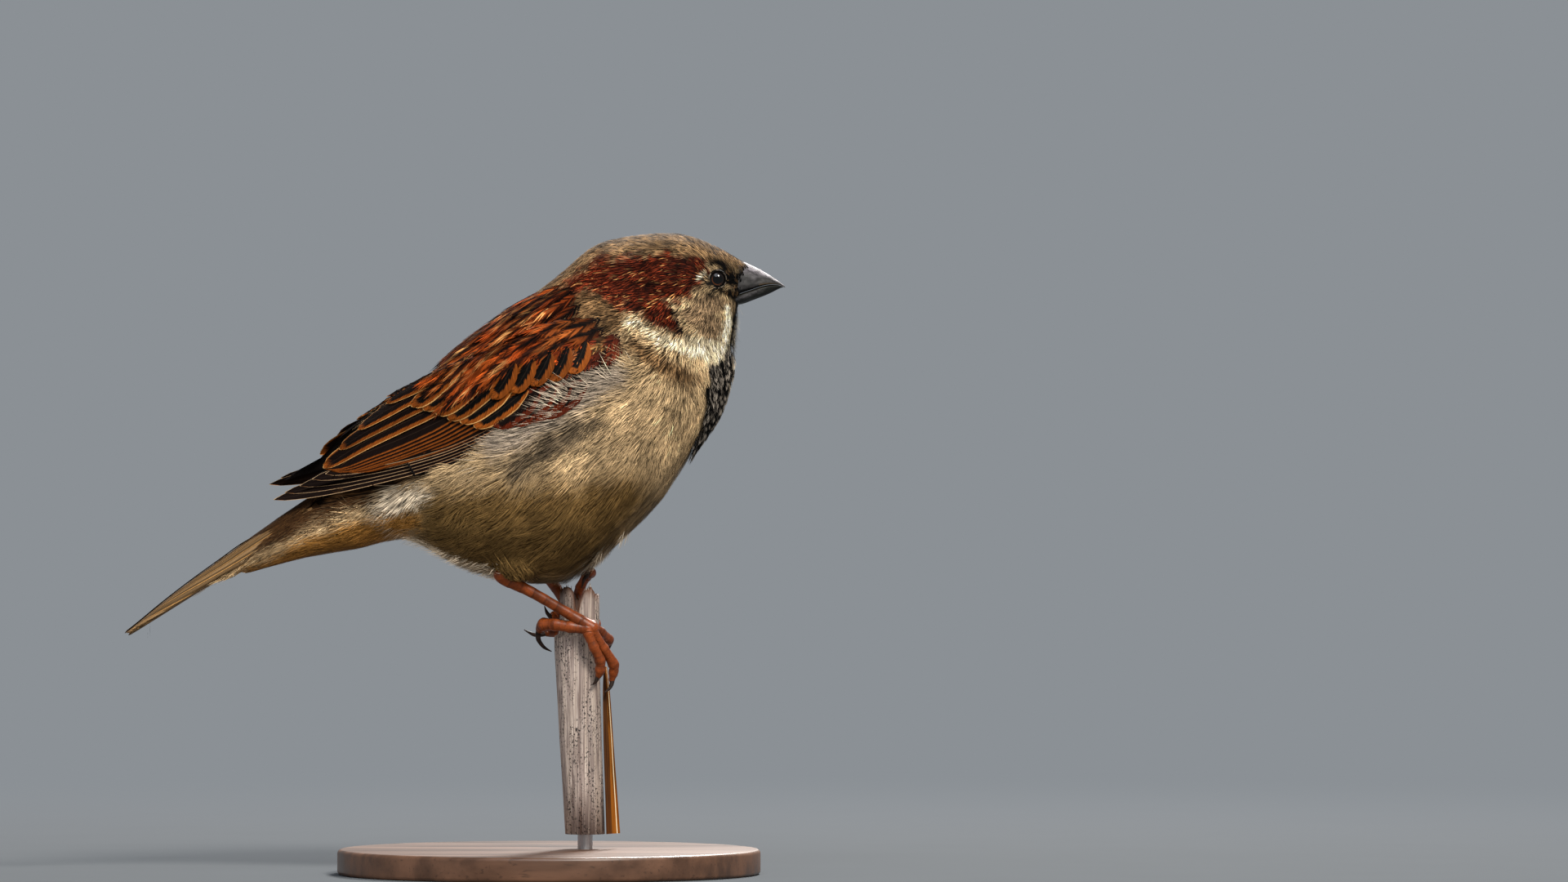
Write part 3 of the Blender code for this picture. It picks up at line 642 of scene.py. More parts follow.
def through(rows, steps):
    """Points on a smooth curve through the rows, and how far along each lies."""
    rows = np.array(rows, float)
    padded = np.vstack((rows[:1], rows, rows[-1:]))
    made = []
    for k in range(len(rows) - 1):
        a, b, c, d = padded[k : k + 4]
        for i in range(steps):
            u = i / steps
            bend = (2 * a - 5 * b + 4 * c - d) * u * u + (3 * b - a - 3 * c + d) * u**3
            made.append(0.5 * (2 * b + (c - a) * u + bend))
    made.append(rows[-1])
    made = np.array(made)
    reach = np.concatenate(((0,), np.cumsum(np.linalg.norm(np.diff(made[:, :3], axis=0), axis=1))))
    return made, reach


# ---------------------------------------------------------------- the bird's form

FLESH = ("head", "neck", "trunk", "rump", "thigh_right", "thigh_left")
PLUMED = (*FLESH, "wing_right", "wing_left", "eye_right", "eye_left", "bill_upper", "bill_lower", "tail")
SWELL = 0.22  # how far nodes are swollen while they melt together
MELT_ROUNDS = 5


@functools.lru_cache
def hull():
    """The outline of the whole plumage, wings and all, as one surface."""
    mesh = melted(PLUMED, SWELL, sizes().hull_voxel / MM, MELT_ROUNDS, "hull")
    points, normals = points_of(mesh), normals_of(mesh)
    points -= normals * SWELL * MM
    move_points(mesh, points)
    return mesh


@functools.lru_cache
def body_form():
    """The outline of the body and tail alone."""
    return melted((*FLESH, "tail"), 0.5, 0.8, 12, "body_form")


@functools.lru_cache
def wing_gap():
    """How far each point of the hull is from the folded wings, in millimetres."""
    tree = search_tree(node_mesh(("wing_right", "wing_left")))
    return np.array([tree.find_nearest(Vector(p))[3] for p in points_of(hull())]) / MM


def eye_gap(points):
    """Distance from the axis through both eyes, in millimetres."""
    places = from_eye(points)
    near = places[:, 1] > EYE[1] - 3
    return np.where(near, np.hypot(places[:, 0], places[:, 2]), ENDLESS)


def spine_place(points):
    """An unwrap of the body's own shape: round the spine, and along it."""
    ends = [node_box(n) for n in ("rump", "trunk", "neck", "head")]
    stops = [ends[0][0]] + [(low + high) / 2 for low, high in ends] + [ends[-1][1]]
    line = np.array([(stop[0], stop[2]) for stop in stops]) * MM
    line[0][1] = ends[0][0][2] * MM + 2 * MM
    line[-1][1] = EYE[2] * MM
    lengths = np.linalg.norm(np.diff(line, axis=0), axis=1)
    before = np.concatenate(((0,), np.cumsum(lengths)))
    flat = points[:, (0, 2)]
    best = np.full(len(points), 1e9)
    along, above = np.zeros(len(points)), np.zeros(len(points))
    for k, length in enumerate(lengths):
        step = (line[k + 1] - line[k]) / length
        reach = np.clip((flat - line[k]) @ step, 0, length)
        off = flat - line[k] - reach[:, None] * step
        gap = np.linalg.norm(off, axis=1)
        closer = gap < best
        best = np.where(closer, gap, best)
        along = np.where(closer, before[k] + reach, along)
        above = np.where(closer, off @ np.array((-step[1], step[0])), above)
    around = np.arctan2(points[:, 1], above) / TURN + 0.5
    return np.column_stack((0.01 + 0.98 * around, 0.01 + 0.98 * along / before[-1]))


# ---------------------------------------------------------------- materials


class Shader:
    """A material under construction: each call adds a node and returns its first output."""

    def __init__(self, name, **settings):
        self.material = bpy.data.materials.new(name)
        self.material.use_nodes = True
        self.tree = self.material.node_tree
        self.surface = self.tree.nodes["Principled BSDF"]
        for socket, value in settings.items():
            self.set(socket.replace("_", " "), value)

    def put(self, socket, value):
        if isinstance(value, bpy.types.NodeSocket):
            self.tree.links.new(value, socket)
        elif value is not None:
            if hasattr(socket.default_value, "__len__") and len(socket.default_value) == 4 and len(value) == 3:
                value = (*value, 1.0)
            socket.default_value = value

    def set(self, socket, value):
        """Gives one of the surface's own sockets a value or a link."""
        self.put(self.surface.inputs[socket], value)

    def node(self, kind, inputs=(), out=0, **settings):
        made = self.tree.nodes.new("ShaderNode" + kind)
        for key, value in settings.items():
            setattr(made, key, value)
        items = inputs.items() if isinstance(inputs, dict) else enumerate(inputs)
        for key, value in items:
            self.put(made.inputs[key], value)
        return made.outputs[out]

    @functools.cached_property
    def place(self):
        """The object's own coordinates."""
        return self.node("TexCoord", out="Object")

    def math(self, operation, *values):
        return self.node("Math", values, operation=operation)

    def vector(self, operation, *values, out=0):
        return self.node("VectorMath", values, out=out, operation=operation)

    def attribute(self, name, out="Fac"):
        return self.node("Attribute", attribute_name=name, out=out)

    def noise(self, place, scale, detail=3.0, roughness=0.55):
        inputs = {"Vector": place, "Scale": scale, "Detail": detail, "Roughness": roughness}
        return self.node("TexNoise", inputs)

    def grain(self, scale, detail=3.0, roughness=0.55):
        """Noise with a scale of its own along each axis of the object."""
        return self.noise(self.node("Mapping", {"Vector": self.place, "Scale": scale}), 1.0, detail, roughness)

    def between(self, value, low, high, to_low=0.0, to_high=1.0):
        inputs = {"Value": value, "From Min": low, "From Max": high, "To Min": to_low, "To Max": to_high}
        return self.node("MapRange", inputs, interpolation_type="SMOOTHSTEP")

    def mix(self, share, first, second):
        return self.node("Mix", {0: share, 6: first, 7: second}, out=2, data_type="RGBA", blend_type="MIX")

    def over(self, base, *layers):
        """Lays colours over a base, one after another, each by its share."""
        for share, colour in layers:
            base = self.mix(share, base, colour)
        return base

    def bump(self, height, strength, distance):
        inputs = {"Height": height, "Strength": strength, "Distance": distance}
        self.set("Normal", self.node("Bump", inputs))

    def colour(self, value):
        self.set("Base Color", value)


def tint(colour, share):
    """A colour made lighter, above 1, or darker, below 1."""
    return tuple(min(1.0, c * share) for c in colour)


@functools.lru_cache
def coat_material(painted_backlight=0.0):
    """Barbs: the painted colour, broken by fine light and dark strands. The thinnest glow a little, as painted
    backlight.
    """
    made = Shader("barbs", Roughness=0.72, Emission_Strength=painted_backlight, Specular_IOR_Level=0.06)
    shade = made.between(made.grain((700, 900, 700), 2.0), 0.3, 0.7, 0.86, 1.12)
    shaded = made.vector("MULTIPLY", made.attribute("plumage", "Color"), shade)
    made.colour(shaded)
    if painted_backlight:
        made.set("Emission Color", shaded)
    return made.material


@functools.lru_cache
def skin_material():
    """Down under the coat."""
    made = Shader("down", Roughness=0.85, Specular_IOR_Level=0.15)
    fluff = made.grain((900, 900, 500), 4.0)
    shade = made.between(fluff, 0.3, 0.7, 0.45, 1.1)
    made.colour(made.vector("MULTIPLY", made.attribute("plumage", "Color"), shade))
    made.bump(fluff, 0.5, 0.4 * MM)
    return made.material


@functools.lru_cache
def vane_material():
    """A vane: a dark centre, coloured edges, a pale fringe, and barbs slanting out from the shaft."""
    made = Shader("vanes", Roughness=0.55, Specular_IOR_Level=0.04)
    across, along, chance = (made.attribute(name) for name in ("across", "along", "chance"))
    core, edge, fringe, cut = (made.attribute(name, "Color") for name in ("core", "edge", "fringe", "cut"))
    outer_cut, end_cut, inner_cut = (made.node("SeparateColor", (cut,), out=k) for k in range(3))
    web = made.node("UVMap", uv_map="vane")
    sideways, onward = (made.node("SeparateXYZ", (web,), out=k) for k in range(2))
    slant = made.math("SUBTRACT", made.math("MULTIPLY", onward, 0.75), made.math("ABSOLUTE", sideways))
    barbs = (made.math("MULTIPLY", slant, 4.5), made.math("MULTIPLY", sideways, 0.25), chance)
    strands = made.noise(made.node("CombineXYZ", barbs), 1.0, 2.0)
    ragged = made.math("MULTIPLY", made.math("SUBTRACT", strands, 0.5), made.attribute("fringe", "Alpha"))
    slight = made.math("MULTIPLY", ragged, 0.3)

    def past(value, limit, rough, low, high, *ends):
        """Whether a value is past its limit, with a rough border."""
        return made.between(made.math("ADD", made.math("SUBTRACT", value, limit), rough), low, high, *ends)

    width = made.math("ABSOLUTE", across)
    is_outer = made.math("GREATER_THAN", across, 0.0)
    outer_part = made.math("MULTIPLY", is_outer, outer_cut)
    inner_part = made.math("MULTIPLY", made.math("SUBTRACT", 1.0, is_outer), inner_cut)
    inside = past(width, made.math("ADD", outer_part, inner_part), ragged, -0.09, 0.09, 1.0, 0.0)
    before = past(along, end_cut, slight, -0.03, 0.03, 1.0, 0.0)
    rim_share = past(made.attribute("rim"), made.attribute("cut", "Alpha"), slight, -0.02, 0.03)
    shaft = made.between(width, 0.02, 0.06, 0.55, 0.0)
    colour = made.over(
        edge, (made.math("MULTIPLY", inside, before), core), (rim_share, fringe), (shaft, (0.02, 0.012, 0.008))
    )
    shade = made.between(strands, 0.25, 0.75, 0.80, 1.16)
    shade = made.math("MULTIPLY", shade, made.between(chance, 0.0, 1.0, 0.72, 1.22))
    made.colour(made.vector("MULTIPLY", colour, shade))
    made.bump(strands, 0.25, 0.06 * MM)
    return made.material


# ---------------------------------------------------------------- coat, by Geometry Nodes


class Tree:
    """A Geometry Nodes tree under construction."""

    def __init__(self, name, inputs):
        self.tree = bpy.data.node_groups.new(name, "GeometryNodeTree")
        for label, kind in inputs:
            self.tree.interface.new_socket(name=label, in_out="INPUT", socket_type="NodeSocket" + kind)
        self.tree.interface.new_socket(name="Geometry", in_out="OUTPUT", socket_type="NodeSocketGeometry")
        self.given = {socket.name: socket for socket in self.tree.nodes.new("NodeGroupInput").outputs}
        self.end = self.tree.nodes.new("NodeGroupOutput")

    def node(self, kind, inputs=None, out=0, **settings):
        made = self.tree.nodes.new(kind)
        for key, value in settings.items():
            setattr(made, key, value)
        for key, value in (inputs or {}).items():
            if isinstance(value, bpy.types.NodeSocket):
                self.tree.links.new(value, made.inputs[key])
            else:
                made.inputs[key].default_value = value
        return made.outputs[out] if out is not None else made

    def geometry(self, kind, inputs=None, out=0, **settings):
        return self.node("GeometryNode" + kind, inputs, out, **settings)

    def named(self, name, kind="FLOAT"):
        return self.geometry("InputNamedAttribute", {"Name": name}, data_type=kind)

    def store(self, geometry, name, kind, value):
        inputs = {"Geometry": geometry, "Name": name, "Value": value}
        return self.geometry("StoreNamedAttribute", inputs, data_type=kind, domain="POINT")

    def random(self, inputs):
        return self.node("FunctionNodeRandomValue", inputs, out=1)

    def math(self, operation, first, second):
        return self.node("ShaderNodeMath", {0: first, 1: second}, operation=operation)

    def times(self, first, second):
        """Two named numbers of each point, multiplied."""
        return self.math("MULTIPLY", self.named(first), self.named(second))


COAT_INPUTS = (
    ("Geometry", "Geometry"),
    ("Feather", "Object"),
    ("Form", "Object"),
    ("Spacing", "Float"),
    ("Seed", "Int"),
    ("Turn", "Float"),
    ("Material", "Material"),
)


@functools.lru_cache
def coat_tree():
    """Grows a feather or a tuft at every point of a surface, lying along it and following its curve."""
    tree = Tree("plumage", COAT_INPUTS)
    given = tree.given
    places = {
        "Mesh": given["Geometry"],
        "Distance Min": given["Spacing"],
        "Density Max": 1e8,
        "Density Factor": tree.named("cover"),
        "Seed": given["Seed"],
    }
    spread = tree.geometry("DistributePointsOnFaces", places, out=None, distribute_method="POISSON")
    points = tree.store(spread.outputs["Points"], "root", "FLOAT_VECTOR", tree.geometry("InputPosition"))
    points = tree.store(points, "chance", "FLOAT", tree.random({"Seed": given["Seed"]}))
    axes = {"Primary Axis": spread.outputs["Normal"], "Secondary Axis": tree.named("lie", "FLOAT_VECTOR")}
    lie = tree.node("FunctionNodeAxesToRotation", axes, primary_axis="Z", secondary_axis="X")
    turn = tree.random({2: tree.math("MULTIPLY", given["Turn"], -1.0), 3: given["Turn"], "Seed": 3})
    spin = tree.node("FunctionNodeEulerToRotation", {0: tree.node("ShaderNodeCombineXYZ", {2: turn})})
    lie = tree.node("FunctionNodeRotateRotation", {0: lie, 1: spin}, rotation_space="LOCAL")
    vary = tree.random({2: 0.8, 3: 1.2, "Seed": 11})
    points = tree.store(points, "length", "FLOAT", tree.math("MULTIPLY", tree.named("length"), vary))
    feather = tree.geometry("ObjectInfo", {"Object": given["Feather"]}, out="Geometry")
    laid = {"Points": points, "Instance": feather, "Rotation": lie, "Scale": tree.named("length")}
    grown = tree.geometry("RealizeInstances", {"Geometry": tree.geometry("InstanceOnPoints", laid)})
    form = tree.geometry("ObjectInfo", {"Object": given["Form"]}, out="Geometry")
    here = tree.geometry("InputPosition")
    on_form = tree.geometry("Proximity", {0: form, "Sample Position": here}, target_element="FACES")
    sampled = {"Mesh": form, "Value": tree.geometry("InputNormal"), "Sample Position": here}
    outward = tree.geometry("SampleNearestSurface", sampled, data_type="FLOAT_VECTOR")
    stand = tree.math("SUBTRACT", tree.times("proud", "flare"), tree.times("depth", "under"))
    rise = tree.math("ADD", stand, tree.times("bow", "length"))
    lift = tree.node("ShaderNodeVectorMath", {0: outward, "Scale": rise}, operation="SCALE")
    place = tree.node("ShaderNodeVectorMath", {0: on_form, 1: lift}, operation="ADD")
    grown = tree.geometry("SetPosition", {"Geometry": grown, "Position": place})
    grown = tree.geometry("SetMaterial", {"Geometry": grown, "Material": given["Material"]})
    tree.tree.links.new(grown, tree.end.inputs[0])
    return tree.tree


def grow_coat(name, ground, **inputs):
    """Runs the coat's tree over a ground mesh and returns the feathers as one plain mesh."""
    made = add_object(name, ground)
    modifier = made.modifiers.new("plumage", "NODES")
    modifier.node_group = coat_tree()
    for item in coat_tree().interface.items_tree:
        if item.in_out == "INPUT" and item.name in inputs:
            modifier[item.identifier] = inputs[item.name]
    return evaluated_mesh(made)


def tuft_mesh(coat, seed):
    """A tuft of barbs in the plane, one long: narrow strips that fan out from one root."""
    random = np.random.default_rng(seed)
    points, faces, along, flare, under, barb, across = [], [], [], [], [], [], []
    stops = (0.0, 0.4, 0.75) if coat.barbs > 6 else (0.0, 0.55)
    for k in range(coat.barbs):
        share = (k + 0.5) / coat.barbs * 2 - 1
        length = 1.0 - 0.3 * abs(share) ** 1.5 - random.uniform(0, 0.22)
        start = share * 0.10
        reach = share * coat.fan + random.uniform(-0.04, 0.04)
        curl = random.uniform(-0.06, 0.06)
        tip_flare = random.uniform(0.0, 1.0) ** 2
        sink = 6.0 if random.uniform(0, 1) < coat.early else 1.6
        first = len(points)
        for stop in stops:
            middle = start + reach * stop + curl * stop * stop
            half = coat.half_width * (1.0 - 0.45 * stop)
            points += [(stop * length, middle - half, 0.0), (stop * length, middle + half, 0.0)]
            along += [stop, stop]
            flare += [tip_flare * stop**1.5] * 2
            under += [(1 - stop) ** sink] * 2
        points.append((length, start + reach + curl, 0.0))
        along.append(1.0)
        flare.append(tip_flare)
        under.append(0.0)
        last = first + 2 * len(stops)
        for a in range(first, last - 2, 2):
            faces += [(a, a + 2, a + 3), (a, a + 3, a + 1)]
        faces.append((last - 2, last, last - 1))
        barb += [random.uniform(0, 1)] * (len(points) - first)
        across += [share] * (len(points) - first)
    mesh = new_mesh("tuft", points, faces)
    bow = np.zeros(len(points))
    set_numbers(mesh, dict(along=along, flare=flare, under=under, barb=barb, across=across, bow=bow))
    return mesh


def plume_mesh(coat, seed):
    """A small feather in the plane, one long: slanting barbs on both sides of a shaft, frayed at the rim."""
    random = np.random.default_rng(seed)
    points, faces, rows = [], [], []
    count = coat.barbs // 2
    for side in (-1.0, 1.0):
        for k in range(count):
            root = 0.05 + 0.62 * k / (count - 1)
            end = min(root + 0.34 + random.uniform(-0.03, 0.05), 1.0 + random.uniform(-0.04, 0.05))
            reach = coat.fan * (1 - ((end - 0.45) / 0.62) ** 2 * 0.75) * random.uniform(0.85, 1.08)
            first = len(points)
            lift, barb = random.uniform(0, 1), random.uniform(0, 1)
            for stop, share in ((0.0, 1.0), (0.5, 0.95)):
                along = root + (end - root) * stop
                out = side * reach * stop**0.8
                half = coat.half_width * share
                for way in (-1, 1):
                    points.append((along + way * half * 1.1, out - way * side * half, 0.0))
                rows += [(stop * (end - root) + root, out / coat.fan, lift * stop, barb)] * 2
            points.append((end, side * reach, 0.0))
            rows.append((end, side * reach / coat.fan, lift, barb))
            a, b, c, d, e = range(first, first + 5)
            new = [(a, b, d), (a, d, c), (c, d, e)]
            faces += new if side < 0 else [face[::-1] for face in new]
    mesh = new_mesh("plume", points, faces)
    along, across, flare, barb = np.clip(np.array(rows), -1, 1).T
    set_numbers(mesh, dict(along=along, across=across, flare=along * 0.5 + flare * 0.3, barb=barb))
    set_numbers(mesh, dict(bow=0.04 * (1 - across**2), under=(1 - along) ** 1.8))
    return mesh


# ---------------------------------------------------------------- the coat's layers

BIB = marked("bib")
TAIL_SKIRT = -66  # where the coat starts, forward of the base's centre
WING_TIPS = -39  # no tuft grows on the form's wing tips behind this
LID_CLEARANCE = 1.70


def part_of(mesh, keep, values):
    """The faces of a mesh of quads whose points are all kept, with attributes for those points."""
    if len(mesh.loops) != 4 * len(mesh.polygons):
        raise RuntimeError("the hull's faces are expected to be quads")
    corners = corners_of(mesh).reshape(-1, 4)
    faces = corners[keep[corners].sum(axis=1) > 1]
    used = np.unique(faces)
    renumber = np.zeros(len(keep), np.int32)
    renumber[used] = np.arange(len(used))
    made = new_mesh("ground", points_of(mesh)[used], renumber[faces])
    for name, rows in values.items():
        set_values(made, name, "FLOAT_VECTOR" if name == "lie" else "FLOAT", rows[used])
    return made


def coat_ground():
    """For each point of the hull: its tufts' lie, length, depth and stand-off, and the row of COATS it is in."""
    points, normals = points_of(hull()), normals_of(hull())
    shares = lie_shares(points)
    lie = shares @ np.array([(row.forward, 0.0, row.up) for row in LIES])
    lie += 0.22 * np.column_stack([waves(points, 5.0, 40 + k) for k in range(3)])
    lie -= normals * (lie * normals).sum(axis=1, keepdims=True)
    lie /= np.linalg.norm(lie, axis=1, keepdims=True) + 1e-9
    length, depth, proud = (
        shares @ np.array([getattr(row, key) for row in LIES]) * MM for key in ("length", "depth", "proud")
    )
    proud += region_cover(FLUFF, points) * 1.0 * MM
    depth *= np.clip((6.2 - from_eye(points)[:, 0]) / 2.4, 0.2, 1)
    names = list(COATS)
    zone = np.array([names.index(row.coat) for row in LIES])[shares.argmax(axis=1)]
    return lie, length, depth, proud, zone


def body_cover(lie, back):
    """How closely the plain coats cover each point of the hull."""
    points = points_of(hull())
    forward, _, height = from_eye(points).T
    off_wing, off_eye = wing_gap(), eye_gap(points)
    ridge = (np.abs(points[:, 1]) < 3.6 * MM) * (normals_of(hull())[:, 2] > 0.3) * (np.abs(forward + 58) < 9)
    made = np.maximum.reduce((np.clip((off_wing - 0.25) / 0.5, 0, 1), region_cover(OVERLAP, points), ridge))
    ahead = (forward * lie[:, 0] + height * lie[:, 2]) / np.maximum(off_eye, 0.1)
    made *= off_eye > LID_CLEARANCE - 0.75 * np.clip(ahead, -0.4, 1)
    made *= 1 - 0.8 * np.clip(region_cover(BIB, points) * 1.5 - 0.4, 0, 1)
    made *= forward < np.interp(height, *np.array(BILL_EDGE).T)
    made *= np.clip((points[:, 0] / MM - TAIL_SKIRT) / 5, 0, 1)
    made *= (off_wing > 1.6) | (points[:, 0] > WING_TIPS * MM)
    return made * (1 - np.clip(back * 1.2, 0, 1))


def coat_layers():
    """For each coat, at each point of the hull: its lie, length, depth, stand-off and cover."""
    lie, length, depth, proud, zone = coat_ground()
    points = points_of(hull())
    forward = from_eye(points)[:, 0]
    off_eye = eye_gap(points) > 2
    back, shoulder, bib, bristles, wisps, fringe, thigh = (
        region_cover(strokes, points) for strokes in (MANTLE, LESSER, BIB, BRISTLES, WISPS, FRINGE, THIGH)
    )
    is_bristle = bristles > 0.02
    wisps = np.maximum(0.22 * wisps, bristles) * off_eye
    wisp_lie = np.column_stack((np.full(len(points), -0.85), 0 * wisps, np.clip(0.9 + forward / 48, 0, 0.62)))
    wisp_lie[is_bristle] = (0.8, 0.0, -0.6)
    wisp_length, wisp_proud = np.where(is_bristle, 2.6, 6.5), np.where(is_bristle, 0.7, 1.8)
    fringe = fringe * np.where(forward > -12, 0.22, 1.0) * off_eye
    fringe_length = np.where(forward > -5, 2.6, 4.0)
    body = body_cover(lie, back)
    made = {name: (lie, length, depth, proud, body * (zone == index)) for index, name in enumerate(COATS)}
    special = {
        "wisps": (wisp_lie, wisp_length, 0.6, wisp_proud, wisps),
        "fringe": (lie, fringe_length, 0.5, 2.3, fringe),
        "thigh": ((0.3, 0.0, -0.92), 6.5, 0.6, 1.0, thigh * (np.abs(points[:, 1]) > 5 * MM)),
        "bib": (lie, 4.4, 0.3, 1.1, np.clip(bib * 1.5 - 0.2, 0, 1)),
        "mantle": ((-0.80, 0.0, -0.60), 9.0, 0.5, 0.9, back),
        "lesser": ((-0.72, 0.0, -0.70), 5.0, 0.3, 0.7, shoulder * (1 - back)),
    }
    for name, (way, *sizes_of, cover) in special.items():
        numbers = [np.broadcast_to(np.array(size) * MM, len(points)) for size in sizes_of]
        made[name] = (np.broadcast_to(np.array(way), (len(points), 3)), *numbers, cover)
    return made


def fraction(values):
    """What is left behind the point: a new chance out of an old one."""
    return np.modf(values)[0]


def special_colours(name, root, tips, chance, other, across, along):
    """The colours of a coat that has markings of its own, or None. Chance and other differ by tuft."""
    forward, _, height = from_eye(root).T
    if name == "fringe":
        return dye("vent") * (0.5 + 0.9 * other)[:, None]
    if name == "bib":
        core = np.clip((0.60 - np.abs(across)) / 0.12, 0, 1) * np.clip((0.90 - along) / 0.1, 0, 1)
        return blend(dye("bib") * 1.3, dye("black") * 0.8, np.maximum(core, chance < 0.3))
    if name == "wisps":
        front = np.clip((forward - 1.5) / 0.5, 0, 1) * np.clip((height + 4.6) / 0.5, 0, 1)
        dark = np.where((other < 0.75)[:, None], dye("black") * (1 + 2 * other)[:, None], dye("cheek") * 0.6)
        return blend(dye("vent") * 1.15, dark, front)
    if name == "mantle":
        lit = np.clip(waves(root, 6.0, 3) * 0.5 + 0.5, 0, 1)
        base = blend(dye("rufous") * (0.7 + 0.6 * other)[:, None], dye("golden") * 1.15, 0.15 + 0.6 * lit)
        black_share, pale_share = back_streaks(root * 0.25 + tips * 0.75)
        base = blend(base, dye("buff") * 1.1, pale_share * np.clip((-forward - 26) / 12, 0.1, 0.8))
        return blend(base, dye("black"), black_share * 0.95)
    if name == "lesser":
        base = blend(dye("rufous") * 1.2, dye("chestnut"), np.clip((forward + 27) / 4, 0, 1))
        base *= (0.25 + 1.2 * other**1.5)[:, None]
        pale = (chance > 0.8) * np.clip((height + 13.5) / 2.5, 0, 1)
        return blend(base, dye("buff"), pale * along * 0.8)
    return None


TUFT_VALUES = ("root", "chance", "barb", "across", "along", "flare", "bow", "under")
GROUND_VALUES = ("lie", "length", "depth", "proud", "cover")
TUFT_PATCH = 0.003  # width of a tuft's patch in the bake's map
TUFT_SEED = 20


def paint_tufts(mesh, name):
    """Colours a coat tuft by tuft: roots darkened as painted shade under the tufts that lie over them, each barb a
    little different, and its own markings.
    """
    root, tips = get_values(mesh, "root", 3).astype(np.float64), points_of(mesh)
    chance, barb, across, along, under = (
        get_values(mesh, key, 1) for key in ("chance", "barb", "across", "along", "under")
    )
    other = fraction(chance * 23.7)
    places = from_eye(root)
    away = np.linalg.norm(places[:, (0, 2)], axis=1)
    base = special_colours(name, root, tips, chance, other, across, along)
    if base is None:
        stray = np.column_stack((np.cos(other * 6.28), 0 * other, np.sin(other * 6.28))) * MM
        stray *= (1.3 * fraction(chance * 11.9) ** 2 * np.clip((away - 4) / 6, 0, 1))[:, None]
        base = plumage_colour(root * 0.5 + tips * 0.5 + stray)
    # Partly painted backlight: the tips of loose fringes turn whiter than the vent's own colour
    fluff = region_cover(FLUFF, root) * np.clip(along * 1.6 - 0.5, 0, 1) * (other > 0.35)
    base = blend(base, dye("vent") * 1.15, fluff)
    if name != "bib":
        bib = np.clip(region_cover(BIB, root) * 1.4, 0, 1)
        base = blend(base, dye("black"), bib * ((chance < 0.55) | (np.abs(across) < 0.35)))
    lore = (base.max(axis=1) < 0.01) * (away < 8.5) * (places[:, 2] > -4.5) * (other > 0.66)
    base = blend(base, dye("nape") * 1.3, lore * 0.9)
    base *= 1 + 0.45 * region_cover(marked("cream"), root)[:, None]
    wave, whole = fraction(barb * 7.13 + chance * 3.7), fraction(chance * 41.3)
    ruddy = region_cover(marked("chestnut"), root)
    base = blend(base, dye("buff"), ruddy * (wave > 0.94) * 0.6)
    base *= (1 + ruddy * (0.9 * wave - 0.45 + 0.25 * waves(root, 1.3, 9)))[:, None]
    patch = 1 + 0.24 * waves(root, 3.5, 5) + 0.14 * waves(root, 1.5, 6)
    # Painted shade: a barb darkens the deeper it lies under the tufts over it; the other factors vary barbs and tufts
    # at random
    shade = (0.13 + 1.05 * (1 - under) ** 2.2) * (0.60 + 0.80 * wave**1.3) * (0.50 + 0.90 * whole) * patch
    contrast = COATS[name].contrast
    shade = 0.9 * shade.mean() * (1 - contrast) + shade * contrast
    dark = (fraction(barb * 3.31 + chance * 9.1) > 0.74 - 0.20 * ruddy + 0.14 * (1 - contrast)) * 0.82
    base = base * (shade * (1 - dark))[:, None]
    set_values(mesh, "plumage", "FLOAT_COLOR", np.clip(base, 0, 1))
    set_uv(mesh, "OFBake", spine_place(root) + TUFT_PATCH * np.column_stack((barb - 0.5, along - 0.5)))
    for key in (*TUFT_VALUES, *GROUND_VALUES):
        if key in mesh.attributes:
            mesh.attributes.remove(mesh.attributes[key])


class SPARROW_OT_skin(bpy.types.Operator):
    """Builds the one skin under the coat, painted with the same markings, and darkened as painted shade"""

    bl_idname = "sparrow.skin"
    bl_label = "Skin"

    def execute(self, context):
        voxel = sizes().hull_voxel / MM
        mesh = melted((*FLESH, "eye_right", "eye_left"), SWELL, voxel, MELT_ROUNDS, "skin")
        points, normals = points_of(mesh), normals_of(mesh)
        off_eye = eye_gap(points)
        depth = SWELL * MM + lie_shares(points) @ np.array([lie.depth for lie in LIES]) * MM
        near_eye = np.clip((3.2 - off_eye) / 1.6, 0, 1)
        depth = depth * (1 - near_eye) + near_eye * 0.5 * MM
        # Painted shade: the skin shows only between the barbs, so it is darkened to about a fifth of the markings'
        # colour, and darker still close to the eye
        painted_shade = 0.22 * np.clip((off_eye - 2.2) / 2.0, 0.06, 1)
        set_values(mesh, "plumage", "FLOAT_COLOR", plumage_colour(points) * painted_shade[:, None])
        move_points(mesh, points - normals * depth[:, None])
        set_uv(mesh, "OFBake", spine_place(points))
        piece("skin", mesh, skin_material(), FLESH)
        return {"FINISHED"}


